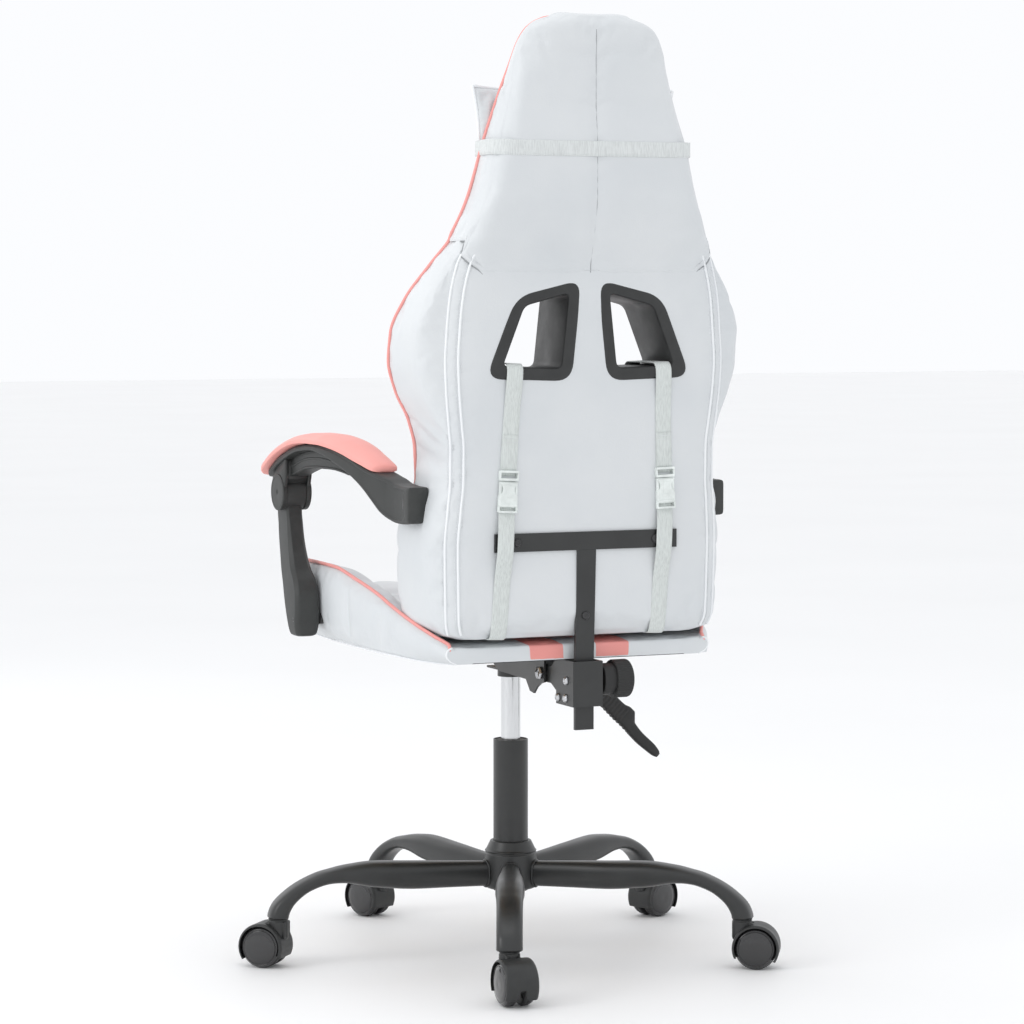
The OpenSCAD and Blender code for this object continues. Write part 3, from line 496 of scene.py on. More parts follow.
def bands(outline, heights_and_insets, frame_matrix=None):
    """A plate or block from a flat outline: (height, inset) levels, with closed ends."""
    rings = []
    for height, inset in heights_and_insets:
        ring = inset_outline(outline, inset)
        rings.append(np.column_stack([ring, np.full(len(ring), height)]))
    verts, faces = skin(rings)
    return placed(verts, frame_matrix), faces


def inset_outline(outline, inset):
    """An outline (anticlockwise) moved inwards by about the inset."""
    outline = np.asarray(outline, float)
    along = np.roll(outline, -1, axis=0) - np.roll(outline, 1, axis=0)
    along /= np.linalg.norm(along, axis=1)[:, None]
    inward = np.stack([-along[:, 1], along[:, 0]], axis=1)
    return outline + inward * inset


def surface_normals(grid):
    """Unit normals of a grid of points (rows, columns, 3)."""
    down = np.gradient(grid, axis=0)
    across = np.gradient(grid, axis=1)
    normal = np.cross(across, down)
    return normal / np.maximum(1e-9, np.linalg.norm(normal, axis=2))[:, :, None]


def stitches(points, normals, pitch=5.0, length=3.6, radius=0.45, lift=0.15):
    """A row of sewing stitches along a line on a surface."""
    points = np.asarray(points, float)
    normals = np.asarray(normals, float)
    run = run_along(points)
    verts = []
    faces = []
    for middle in np.arange(pitch / 2, run[-1], pitch):
        ends = []
        for where in (middle - length / 2, middle, middle + length / 2):
            spot = np.array([np.interp(where, run, points[:, axis]) for axis in range(3)])
            out = np.array([np.interp(where, run, normals[:, axis]) for axis in range(3)])
            height = lift if where == middle else lift - radius
            ends.append(spot + out * height)
        part_verts, part_faces = tube(ends, radius, 5)
        faces.extend([[len(verts) + i for i in face] for face in part_faces])
        verts.extend(part_verts.tolist())
    return verts, faces


def cut(piece, cutters):
    """Takes closed cutter objects out of a closed piece."""
    for cutter in cutters:
        modifier = piece.modifiers.new("cut", "BOOLEAN")
        modifier.operation = "DIFFERENCE"
        modifier.solver = "MANIFOLD"
        modifier.object = cutter
    settle(piece)
    for cutter in cutters:
        bpy.data.objects.remove(cutter)


def settle(piece):
    """Applies every modifier of the piece."""
    evaluated = piece.evaluated_get(bpy.context.evaluated_depsgraph_get())
    mesh = bpy.data.meshes.new_from_object(evaluated)
    old = piece.data
    piece.modifiers.clear()
    piece.data = mesh
    bpy.data.meshes.remove(old)


def coords_of(mesh):
    flat = np.empty(len(mesh.vertices) * 3)
    mesh.vertices.foreach_get("co", flat)
    return flat.reshape(-1, 3)


def puff(piece, pinned, cap, pressure=4.0, slack=0.03, frames=20):
    """Blows the leather up like filled upholstery.

    The pinned points are seams, and cap is the furthest that a point may move in millimetres.
    """
    rest = coords_of(piece.data)
    group = piece.vertex_groups.new(name="seams")
    group.add([int(i) for i in pinned], 1.0, "REPLACE")
    cloth = piece.modifiers.new("cloth", "CLOTH")
    settings = cloth.settings
    settings.quality = 4
    settings.mass = 0.3
    settings.tension_stiffness = 15
    settings.compression_stiffness = 15
    settings.shear_stiffness = 6
    settings.bending_stiffness = 0.5
    settings.shrink_min = -slack
    settings.use_pressure = True
    settings.uniform_pressure_force = pressure
    settings.effector_weights.gravity = 0
    settings.vertex_group_mass = "seams"
    cloth.collision_settings.use_collision = False
    scene = bpy.context.scene
    for number in range(1, frames + 1):
        scene.frame_set(number)
    evaluated = piece.evaluated_get(bpy.context.evaluated_depsgraph_get())
    moved = coords_of(evaluated.data)
    piece.modifiers.clear()
    piece.vertex_groups.clear()
    scene.frame_set(1)
    move = moved - rest
    size = np.linalg.norm(move, axis=1)
    limit = np.broadcast_to(np.asarray(cap, float) * MM, size.shape)
    eased = limit * np.tanh(size / np.maximum(limit, 1e-9))
    move *= (eased / np.maximum(size, 1e-9))[:, None]
    piece.data.vertices.foreach_set("co", (rest + move).ravel())
    piece.data.update()


def refine(piece, levels=1):
    """Catmull-Clark subdivision, applied."""
    subdivision = piece.modifiers.new("fine", "SUBSURF")
    subdivision.levels = levels
    subdivision.render_levels = levels
    settle(piece)
    piece.data.shade_smooth()


# ---------------------------------------------------------------- backrest

# z, half width, front edge y, sitting face y, half width of the rear panel, rear y, rear y of the side,
# how far the front seam is tucked round the corner, or if negative how far the flat side leans inwards
BACK_ROWS = [
    (484, 180, 122, 134, 164, 236, 210, 14), (490, 198, 107, 126, 180, 244, 208, 14),
    (510, 211, 93, 124, 186, 249, 208, 14), (545, 214, 89, 126, 187, 250, 208, 14),
    (610, 217, 89, 136, 188, 251, 209, 14), (660, 212, 105, 142, 185, 254, 210, 12),
    (700, 203, 126, 148, 182, 256, 212, 4), (740, 204, 133, 154, 182, 257, 214, 0),
    (780, 213, 132, 160, 186, 259, 216, 0), (820, 229, 124, 166, 190, 261, 220, 0),
    (860, 239, 124, 172, 192, 262, 224, 0), (898, 239, 132, 178, 190, 262, 232, 0),
    (943, 225, 148, 184, 186, 263, 242, 0), (990, 199, 175, 196, 176, 265, 250, 0),
    (1030, 176, 200, 208, 158, 276, 260, 0), (1085, 157, 215, 214, 140, 286, 268, -1),
    (1150, 142, 219, 216, 124, 286, 268, -4), (1210, 125, 219, 217, 108, 281, 264, -8),
    (1270, 108, 225, 221, 94, 281, 264, -12), (1289, 101, 227, 225, 87, 282, 265, -12),
    (1305, 91, 230, 228, 77, 282, 266, -11), (1315, 78, 234, 232, 63, 280, 265, -10),
    (1322, 58, 238, 237, 45, 276, 264, -8),
]
back_row = smooth_table(BACK_ROWS)
BACK_BOTTOM, BACK_TOP = 484, 1322
WELT_OUT = 15
SEATED_SHARE = 0.62          # the sitting panel's share of the half width

# Columns of the half section, from the middle of the rear to the middle of the front
REAR_COLS, WELT_COLS, CORNER_COLS, SIDE_COLS, BOLSTER_COLS, FRONT_COLS = 26, 4, 8, 16, 14, 20
INNER_WELT = REAR_COLS
OUTER_WELT = INNER_WELT + WELT_COLS
SIDE_START = OUTER_WELT + CORNER_COLS
FRONT_PIPE = SIDE_START + SIDE_COLS
BOLSTER_FOOT = FRONT_PIPE + BOLSTER_COLS
FRONT_MIDDLE = BOLSTER_FOOT + FRONT_COLS
STRIPE_OUT = BOLSTER_FOOT + 8
STRIPE_IN = BOLSTER_FOOT + 16


def back_half_section(row):
    """(x, y) points of half of the backrest's section, for one row of values."""
    half_w, front_y, sit_y, rear_w, rear_y, side_y, tuck = row
    points = []
    for i in range(REAR_COLS):
        t = i / REAR_COLS
        points.append((rear_w * t, rear_y - 3 * t**4))
    welt_x = min(rear_w + WELT_OUT, half_w - 2)
    welt_y = max(rear_y - 12, side_y + 1)
    for i in range(WELT_COLS):
        t = i / WELT_COLS
        bulge = 1.4 * math.sin(math.pi * t)
        points.append((rear_w + (welt_x - rear_w) * t + bulge * 0.5,
                       rear_y - 3 + (welt_y - rear_y + 3) * t + bulge))
    for i in range(CORNER_COLS):
        angle = math.pi / 2 * i / CORNER_COLS
        points.append((welt_x + (half_w - welt_x) * math.sin(angle)**0.9,
                       side_y + (welt_y - side_y) * math.cos(angle)))
    lean = max(-tuck, 0.0)
    tuck = max(tuck, 0.0)
    pipe_x, pipe_y = half_w - tuck - lean, front_y + 5 - 0.3 * tuck
    corner = 0.35 * min(1.0, tuck / 14)      # share of the side's columns that go round the corner
    for i in range(SIDE_COLS):
        t = i / SIDE_COLS
        flat = min(1.0, t / (1 - corner))
        turn = math.pi / 2 * max(0.0, t - 1 + corner) / max(corner, 0.001)
        points.append((half_w + 1.5 * math.sin(math.pi * flat) - lean * flat - tuck * (1 - math.cos(turn)),
                       side_y + (pipe_y + tuck - side_y) * flat - tuck * math.sin(turn)))
    foot = ((half_w - lean) * SEATED_SHARE, sit_y)
    slope_x = max(pipe_x - 36, (pipe_x - 16 + foot[0]) / 2)
    crest = curve_through(
        [(pipe_x, pipe_y), (pipe_x - 6, front_y - 1), (pipe_x - 16, front_y),
         (slope_x, (front_y + sit_y) / 2), foot],
        BOLSTER_COLS + 1)
    points.extend(crest[:-1])
    for i in range(FRONT_COLS + 1):
        t = i / FRONT_COLS
        points.append((foot[0] * (1 - t), sit_y))
    return np.array(points)


def back_section(z):
    """The whole section at height z, anticlockwise from the middle of the rear, as (x, y, z)."""
    half = back_half_section(back_row(z)[0])
    mirrored = half[1:-1][::-1] * [-1, 1]
    ring = np.vstack([half, mirrored])
    return np.column_stack([ring, np.full(len(ring), z)])


RING = 2 * FRONT_MIDDLE


def twin(column):
    """The same column on the other side."""
    return (RING - column) % RING


def end_rings(ring, way, height, inward=0.55, steps=5):
    """Rings that close a section with a soft rounded end."""
    middle_y = (ring[:, 1].max() + ring[:, 1].min()) / 2
    spine = np.column_stack([ring[:, 0] * inward, np.full(len(ring), middle_y), ring[:, 2]])
    rings = []
    for i in range(1, steps + 1):
        angle = math.radians(80) * i / steps
        rings.append(spine + (ring - spine) * math.cos(angle) + [0, 0, way * height * math.sin(angle)])
    return rings


def back_heights():
    ends = [484, 486, 488.5, 492, 496, 501]
    middle = np.linspace(507, 1298, 145).tolist()
    return ends + middle + [1303, 1308, 1312, 1316, 1319.5, 1322]


def window_outline(grow, side):
    """The window's opening grown outwards, as (x, z), anticlockwise seen from the front."""
    corners = np.array([(31, 952), (42, 851), (128, 854), (96, 935)], float)
    shape = inset_outline_corners(corners, 6)
    outline = rounded_outline(inset_outline_corners(shape, -grow), grow * 0.9 + 4, 7)
    if side < 0:
        outline = (outline * [-1, 1])[::-1]
    return outline


def inset_outline_corners(corners, inset):
    """Each straight side of an anticlockwise polygon moved inwards by the inset."""
    out = []
    count = len(corners)
    for i in range(count):
        before, here, after = corners[i - 1], corners[i], corners[(i + 1) % count]
        first = (here - before) / np.linalg.norm(here - before)
        second = (after - here) / np.linalg.norm(after - here)
        normal_1 = np.array([-first[1], first[0]])
        normal_2 = np.array([-second[1], second[0]])
        out.append(here + (normal_1 + normal_2) / (1 + np.dot(normal_1, normal_2)) * inset)
    return np.array(out)


def outline_at(outline, y):
    """The points of an (x, z) outline at that y."""
    return np.column_stack([outline[:, 0], np.full(len(outline), y), outline[:, 1]])


def window_cutter(side):
    """The block that opens the backrest's cover at one window, under the bezel's flanges."""
    outline = window_outline(9.3, side)
    verts, faces = skin([outline_at(outline, y) for y in (60, 330)])
    return piece_of("cutter", verts, faces, ["bezel_plastic"])


def back_material(column):
    """White leather, but for the two stripes down the sitting face."""
    half_column = min(column, RING - 1 - column)
    return 1 if STRIPE_OUT <= half_column < STRIPE_IN else 0


def make_backrest():
    heights = back_heights()
    rings = [back_section(z) for z in heights]
    rings = end_rings(rings[0], -1, 3)[::-1] + rings + end_rings(rings[-1], 1, 5)
    verts, faces = skin(rings)
    face_mats = [back_material(i % RING) for i in range(len(faces) - 2)] + [0, 0]
    shell = piece_of("backrest_cover", verts, faces, ["white_leather", "pink_leather"], face_mats)
    columns = np.arange(len(verts)) % RING
    rows = np.arange(len(verts)) // RING
    half_column = np.minimum(columns, RING - columns)
    seams = np.isin(half_column, [INNER_WELT, OUTER_WELT, FRONT_PIPE, BOLSTER_FOOT, STRIPE_OUT, STRIPE_IN])
    ends = (rows < 5) | (rows > rows.max() - 6)
    cap = np.where(half_column <= INNER_WELT, 2.5, np.where(half_column < FRONT_PIPE, 4.0, 12.0))
    puff(shell, np.nonzero(seams | ends)[0], cap, pressure=3.0, slack=0.02)
    refine(shell)
    cut(shell, [window_cutter(side) for side in (1, -1)])
    shell.data.shade_smooth()
    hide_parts("back_cushion")
    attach(shell, "backrest")


def on_back(column, z):
    """A point of the backrest's surface."""
    return back_section(z)[int(column) % RING]


def outward_at(column, z):
    """The unit normal of the backrest's surface, pointing out."""
    ring = back_section(z)
    above = back_section(min(z + 3, BACK_TOP))[column % RING]
    below = back_section(max(z - 3, BACK_BOTTOM))[column % RING]
    along = ring[(column + 1) % RING] - ring[(column - 1) % RING]
    normal = np.cross(above - below, along)
    return normal / np.linalg.norm(normal)


def line_on_back(column, z_low, z_high, lift, count):
    """A line up one column of the backrest, held off it by lift, with its normals."""
    heights = np.linspace(z_low, z_high, count)
    normals = np.array([outward_at(column, z) for z in heights])
    points = np.array([on_back(column, z) for z in heights])
    return points + normals * lift, normals


COVER_EDGE_REAR = 977
COVER_EDGE_SIDE = 1022
COVER_LIFT = 2.6
MIDDLE_SEAM_TOP = 1306
WELT_LOW, WELT_HIGH = 492, 1012
PIPING_LOW, PIPING_HIGH = 492, 1318


def cover_edge(half_column):
    """Height of the head cover's lower edge round the section."""
    if half_column <= INNER_WELT - 3:
        return COVER_EDGE_REAR + 2.0 * (half_column / INNER_WELT)**2
    rise = min(1.0, (half_column - INNER_WELT + 3) / (SIDE_START - INNER_WELT + 3))
    return COVER_EDGE_REAR + 2 + (COVER_EDGE_SIDE - COVER_EDGE_REAR - 2) * rise**0.8


def head_grid(levels):
    """The backrest's surface from the cover's lower edge, at level 0, to the top, at level 1."""
    sections = {}
    grid = np.empty((len(levels), RING, 3))
    for i, level in enumerate(levels):
        for column in range(FRONT_MIDDLE + 1):
            edge = cover_edge(column)
            height = round(edge + (BACK_TOP - edge) * level, 2)
            if height not in sections:
                sections[height] = back_section(height)
            grid[i, column] = sections[height][column]
            grid[i, twin(column)] = sections[height][column] * [-1, 1, 1]
    return grid


def make_head_cover():
    """The sleeve over the head of the backrest, just proud of the cover below it and open at its foot."""
    levels = np.concatenate([[0, 0.004, 0.010, 0.018], np.linspace(0.03, 1, 84)])
    grid = head_grid(levels)
    wrapped = np.concatenate([grid[:, -2:], grid, grid[:, :2]], axis=1)
    normals = surface_normals(wrapped)[:, 2:-2]
    middle = np.array([0, 245.0, 1150])
    if np.sum(normals[40, 0] * (grid[40, 0] - middle)) < 0:
        normals = -normals
    lift = COVER_LIFT * np.minimum(1.0, 0.25 + levels / 0.014)[:, None, None]
    outer = grid + normals * lift
    tuck = grid[0] + normals[0] * 0.2
    rings = [tuck] + list(outer) + end_rings(outer[-1], 1, 6)
    verts, faces = skin(rings, caps=False)
    faces.append(list(range(len(verts) - RING, len(verts))))
    columns = np.arange(len(verts)) % RING
    half_column = np.minimum(columns, RING - columns)
    face_mats = [back_material(i % RING) for i in range(len(faces) - 1)] + [0]
    cover = piece_of("head_cover", verts, faces, ["white_leather", "pink_leather"], face_mats)
    row_of = np.arange(len(verts)) // RING
    seams = np.isin(half_column, [0, FRONT_PIPE, BOLSTER_FOOT, STRIPE_OUT, STRIPE_IN]) & (row_of > 3)
    pinned = seams | (row_of <= 3) | (row_of > row_of.max() - 5)
    cap = np.where(half_column < FRONT_PIPE, 2.5, 7.0)
    puff(cover, np.nonzero(pinned)[0], cap, pressure=2.5, slack=0.02)
    refine(cover)
    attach(cover, "backrest")


def make_cover_sewing():
    """The head cover's hem stitches, a dark cord of painted shadow under its lower edge, and the seam down
    the middle of its rear, drawn as a dark line of painted shade.
    """
    parts = []
    hem = []
    hem_normals = []
    for column in range(-SIDE_START, SIDE_START + 1):
        z = cover_edge(abs(column)) + 6.5
        normal = outward_at(column, z)
        hem.append(on_back(column, z) + normal * (COVER_LIFT + 0.1))
        hem_normals.append(normal)
    parts.append((*stitches(hem, hem_normals, 4.6, 3.2, 0.42), 0))
    # Painted shadow: a dark cord just under the cover's lower edge, standing for the shade beneath its hem
    fold = []
    for column in range(-SIDE_START - 4, SIDE_START + 5):
        z = cover_edge(abs(column)) - 0.6
        fold.append(on_back(column, z) + outward_at(column, z) * 0.9)
    parts.append((*tube(fold, 0.9, 8), 1))
    sewing = joined("head_cover_hem_stitches_and_edge_shadow", parts, ["thread", "seam_shadow"])
    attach(sewing, "backrest")
    # Painted shade: the middle seam is a dark cord standing for the shade in the seam's groove
    seam_line = line_on_back(0, COVER_EDGE_REAR + 4, MIDDLE_SEAM_TOP, COVER_LIFT - 0.2, 60)[0]
    verts, faces = tube(seam_line, 0.8, 8, flat=0.6)
    seam = piece_of("head_cover_middle_seam_shade", verts, faces, ["seam_shadow"])
    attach(seam, "backrest")


def make_welts():
    """Double white welts down each side of the rear, which meet under the head cover."""
    for side, name in ((1, "left"), (-1, "right")):
        parts = []
        for column in (INNER_WELT, OUTER_WELT):
            at = column if side > 0 else twin(column)
            line, normals = line_on_back(at, WELT_LOW, WELT_HIGH, 0.7, 180)
            parts.append((*tube(line, 1.7, 8), 0))
            for gap in (-4.2, 4.2):
                along = np.cross(normals, [0, 0, 1])
                along /= np.linalg.norm(along, axis=1)[:, None]
                parts.append((*stitches(line + along * gap - normals * 0.55, normals, 5.0, 3.4, 0.36), 1))
        welt = joined("rear_welts_" + name, parts, ["white_piping", "thread"])
        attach(welt, "backrest")


def make_back_piping():
    """Pink piping along the front edge of the side panels and over the head."""
    left = []
    for z in np.linspace(PIPING_LOW, PIPING_HIGH, 220):
        lift = 1.2 + COVER_LIFT * min(1, max(0, (z - COVER_EDGE_SIDE) / 8))
        left.append(on_back(FRONT_PIPE, z) + outward_at(FRONT_PIPE, z) * lift)
    left = np.array(left)
    start = left[-1]
    across = start * [-1, 1, 1] - start
    over = [start + across * t + [0, 0, 5.5 * math.sin(math.pi * t)**0.5]
            for t in np.linspace(0.04, 0.96, 24)]
    right = left[::-1] * [-1, 1, 1]
    line = resampled(np.vstack([left, over, right]), 420)
    verts, faces = tube(line, 2.3, 10)
    piping = piece_of("backrest_piping", verts, faces, ["pink_piping"])
    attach(piping, "backrest")


# how far outside the window's opening, and y, round the bezel's section from the opening's front
BEZEL_SECTION = [
    (6.0, 171.0), (6.0, 262.0), (7.2, 265.4), (9.6, 266.6), (20.0, 266.2), (23.0, 264.8), (24.0, 262.6),
    (24.0, 258.0), (9.2, 257.0), (9.2, 176.0), (19.0, 175.4), (20.2, 173.0), (18.5, 169.4), (9.5, 167.6),
    (7.2, 168.4),
]


def make_bezels():
    """Moulded window surrounds: a broad rear flange, a deep liner and a narrower front flange."""
    for side, name in ((1, "left"), (-1, "right")):
        verts, faces = skin_in_a_circle([outline_at(window_outline(grow, side), y)
                                         for grow, y in BEZEL_SECTION])
        bezel = piece_of("window_surround_" + name, verts, faces, ["bezel_plastic"])
        soften = bezel.modifiers.new("edges", "BEVEL")
        soften.width = 0.7 * MM
        soften.segments = 2
        soften.limit_method = "ANGLE"
        settle(bezel)
        bezel.data.shade_smooth()
        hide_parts("window_bezel_" + name)
        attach(bezel, "backrest")


make_backrest()
make_head_cover()
make_cover_sewing()
make_welts()
make_back_piping()
make_bezels()


# ---------------------------------------------------------------- straps, buckles and pillows

def strap(line, width_axis, width, thickness):
    """Flat webbing along a line, with soft edges and a little thickness."""
    line = np.asarray(line, float)
    width_axis = np.asarray(width_axis, float)
    tangents = np.gradient(line, axis=0)
    tangents /= np.linalg.norm(tangents, axis=1)[:, None]
    up = np.cross(tangents, width_axis)
    up /= np.linalg.norm(up, axis=1)[:, None]
    half = width / 2
    soft = thickness * 0.45
    section = [(-half, 0), (-half + soft, -thickness / 2), (-half / 2, -thickness / 2), (0, -thickness / 2),
               (half / 2, -thickness / 2), (half - soft, -thickness / 2), (half, 0),
               (half - soft, thickness / 2), (half / 2, thickness / 2), (0, thickness / 2),
               (-half / 2, thickness / 2), (-half + soft, thickness / 2)]
    rings = [point + np.array([u * width_axis + v * normal for u, v in section])
             for point, normal in zip(line, up)]
    return skin(rings)


WEB_THICK = 1.6
WEB_WIDE = 24.0
# y and z of the webbing's outer side, over the foot of the window, and below the buckle under the cushion
UPPER_RUN = [(130, 735), (152, 790), (163, 845), (172, 858.5), (263, 858.5), (268.6, 851), (268.2, 832),
             (264, 800), (261.8, 760), (259, 706)]
LOWER_RUN = [(259, 666), (262.3, 640), (262.3, 600), (254.5, 560), (251.8, 510), (247, 486), (240, 481.8),
             (130, 481.8)]
# x at the buckle, then the lean above it and below it in degrees
STRAPS = {"left": (121.0, -2.8, -2.4), "right": (-117.5, 2.1, -2.0)}
STRAP_TURN_Z = 665.0


def leaning(x, lean):
    """The frame of a strap: it stands at x and leans about the height where its buckle is."""
    angle = math.radians(lean)
    turn = np.array([[math.cos(angle), 0, math.sin(angle)], [0, 1, 0],
                     [-math.sin(angle), 0, math.cos(angle)]])
    matrix = np.eye(4)
    matrix[:3, :3] = turn
    matrix[:3, 3] = np.array([x, 0, STRAP_TURN_Z]) - turn @ np.array([0, 0, STRAP_TURN_Z])
    return matrix


def strap_end_parts(place):
    """The upper run's end, which folds back through the buckle and is sewn down with two rows."""
    fold = np.column_stack([np.zeros(12), np.linspace(260.6, 262.0, 12), np.linspace(711, 762, 12)])
    fold[:, 1] += np.sin(np.linspace(0, math.pi, 12)) * 0.5
    verts, faces = strap(fold, (1, 0, 0), WEB_WIDE - 1, 1.3)
    parts = [(placed(verts, place), faces, 0)]
    for height in (752, 757):
        row = np.column_stack([np.linspace(-10, 10, 12), np.full(12, 262.75), np.full(12, height)])
        verts, faces = stitches(row, np.tile([0.0, 1.0, 0.0], (12, 1)), 2.6, 2.0, 0.28)
        parts.append((placed(np.array(verts), place), faces, 1))
    return parts


def make_lumbar_strap(side):
    """One side's strap: the run over the window's foot, the run under the cushion, and its sewn end."""
    x, lean_above, lean_below = STRAPS[side]
    parts = []
    for run, lean in ((UPPER_RUN, lean_above), (LOWER_RUN, lean_below)):
        line = resampled(rounded_line(run, 9.0), 110)
        along = np.gradient(line, axis=0)
        along /= np.linalg.norm(along, axis=1)[:, None]
        middle = line - np.column_stack([-along[:, 1], along[:, 0]]) * WEB_THICK / 2
        path = np.column_stack([np.zeros(len(middle)), middle])
        verts, faces = strap(path, (1, 0, 0), WEB_WIDE, WEB_THICK)
        parts.append((placed(verts, leaning(x, lean)), faces, 0))
    parts += strap_end_parts(leaning(x, lean_above))
    piece = joined("lumbar_strap_webbing_" + side, parts, ["webbing", "thread"])
    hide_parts("lumbar_strap_" + side)
    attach(piece, "backrest")


def box_part(low, high, bevel=0.8, place=None):
    """A block with eased edges on every side."""
    low, high = np.asarray(low, float), np.asarray(high, float)
    middle, half = (low + high) / 2, (high - low) / 2
    bevel = min(bevel, *(half * 0.9))
    grid = bmesh.new()
    bmesh.ops.create_cube(grid, size=2.0)
    for vert in grid.verts:
        vert.co = Vector(middle + np.array(vert.co) * half)
    bmesh.ops.bevel(grid, geom=grid.edges[:], offset=bevel, segments=3, profile=0.6, affect="EDGES")
    verts = np.array([vert.co[:] for vert in grid.verts])
    faces = [[vert.index for vert in face.verts] for face in grid.faces]
    grid.free()
    return placed(verts, place), faces


# x of the middle, half width, y from and to, z from and to, bevel
BUCKLE_BLOCKS = [
    # the prongs, seen through the open sides
    (-11.6, 1.8, 259.4, 263.6, 679.5, 696.5, 1.2), (11.6, 1.8, 259.4, 263.6, 679.5, 696.5, 1.2),
    # the tongue in the middle of the face, and the raised rim below it
    (0, 4.5, 264.6, 266.2, 677, 694, 1.4), (0, 12.6, 264.4, 266.2, 665.4, 668.2, 0.9),
    # the plug's shoulder, then the sides and the bars of the frames that hold the webbing
    (0, 13.8, 258.0, 265.4, 699.6, 703.4, 1.3), (-12.9, 1.2, 258.4, 264.8, 702, 713.4, 1.1),
    (-12.9, 1.2, 258.6, 264.6, 656.8, 665.5, 1.0), (12.9, 1.2, 258.4, 264.8, 702, 713.4, 1.1),
    (12.9, 1.2, 258.6, 264.6, 656.8, 665.5, 1.0), (0, 13.8, 262.6, 266.0, 710.6, 713.8, 1.2),
    (0, 13.8, 262.4, 265.6, 656.4, 659.2, 1.1),
]


def make_buckle(side):
    """Side-release buckle: a socket with open sides, the plug's prongs in it, and two webbing bars."""
    x, lean_above = STRAPS[side][:2]
    place = leaning(x, lean_above)
    parts = []
    low_y, top_y = 257.6, 265.4
    body = [(-13.6, 664), (13.6, 664), (13.6, 680), (9.6, 683), (8.6, 688), (9.6, 693), (13.6, 696),
            (13.0, 699), (-13.0, 699), (-13.6, 696), (-9.6, 693), (-8.6, 688), (-9.6, 683), (-13.6, 680)]
    outline = rounded_outline(body, 2.2, 4)
    matrix = axes_at((0, 0, 0), (1, 0, 0), (0, 0, 1), (0, -1, 0))
    levels = [(-low_y, 0.8), (-low_y - 0.7, 0.0), (-top_y + 1.8, 0.0), (-top_y + 0.6, 0.4), (-top_y, 1.6)]
    verts, faces = bands(outline, levels, matrix)
    parts.append((placed(verts, place), faces, 0))
    for middle_x, half_w, y_low, y_high, z_low, z_high, bevel in BUCKLE_BLOCKS:
        low = (middle_x - half_w, y_low, z_low)
        high = (middle_x + half_w, y_high, z_high)
        parts.append((*box_part(low, high, bevel, place), 0))
    piece = joined("strap_buckle_" + side, parts, ["buckle_plastic"])
    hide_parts("buckle_" + side)
    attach(piece, "backrest")


HEAD_STRAP_LOW, HEAD_STRAP_WIDE = 1136.0, 21.0


def make_head_strap():
    """Elastic band from one end of the head pillow round the back of the head to the other."""
    z = HEAD_STRAP_LOW + HEAD_STRAP_WIDE / 2
    lift = COVER_LIFT + 2.6
    line = []
    for column in range(-FRONT_PIPE + 1, FRONT_PIPE):
        line.append(on_back(column, z) + outward_at(column, z) * lift)
    line = np.array(line)
    end = np.array([146.0, 212.0, z])
    line = np.vstack([end * [-1, 1, 1], line, end])
    line = resampled(rounded_line(resampled(line, 90), 3), 200)
    verts, faces = strap(line, (0, 0, 1), HEAD_STRAP_WIDE, 1.5)
    piece = piece_of("head_pillow_strap", verts, faces, ["elastic"])
    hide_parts("head_strap")
    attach(piece, "backrest")


def pillow_grid(half_w, half_h, y_back, y_front, wrap, pinch, columns=64, rows=40):
    """Front and back faces of a pillow with pointed corners, joined at its seam.

    wrap bows the ends back towards y_back; pinch pulls the sides in between the corners.
    """
    verts = []
    seam_y = y_back - 0.32 * (y_back - y_front)
    for row in range(rows + 1):
        v = 2 * row / rows - 1
        for column in range(columns + 1):
            u = 2 * column / columns - 1
            x = u * half_w * (1 - pinch * (1 - v * v) * abs(u)**3)
            z = v * half_h * (1 - pinch * (1 - u * u) * abs(v)**3)
            swell = (1 - u**4)**0.75 * (1 - v**4)**0.75
            bow = wrap * u * u
            verts.append((x, seam_y + bow - (seam_y - y_front) * swell, z))
    front_count = len(verts)
    for row in range(rows + 1):
        v = 2 * row / rows - 1
        for column in range(columns + 1):
            u = 2 * column / columns - 1
            front = verts[row * (columns + 1) + column]
            swell = (1 - u**4)**0.6 * (1 - v**4)**0.6
            bow = wrap * u * u
            verts.append((front[0], seam_y + bow + (y_back - seam_y) * swell, front[2]))
    faces = []
    for row in range(rows):
        for column in range(columns):
            a = row * (columns + 1) + column
            faces.append([a, a + 1, a + columns + 2, a + columns + 1])
            b = a + front_count
            faces.append([b, b + columns + 1, b + columns + 2, b + 1])
    return np.array(verts), faces, (rows + 1, columns + 1)


def merge_seam(piece):
    """Joins the points of a pillow's two halves along their seam."""
    grid = bmesh.new()
    grid.from_mesh(piece.data)
    bmesh.ops.remove_doubles(grid, verts=grid.verts, dist=0.05 * MM)
    bmesh.ops.recalc_face_normals(grid, faces=grid.faces)
    grid.to_mesh(piece.data)
    grid.free()
    piece.data.shade_smooth()


def edge_loop(verts, shape):
    """The pillow's seam line, round its edge."""
    rows, columns = shape
    grid = verts[:rows * columns].reshape(rows, columns, 3)
    return np.vstack([grid[0, :-1], grid[:-1, -1], grid[-1, :0:-1], grid[:0:-1, 0]])


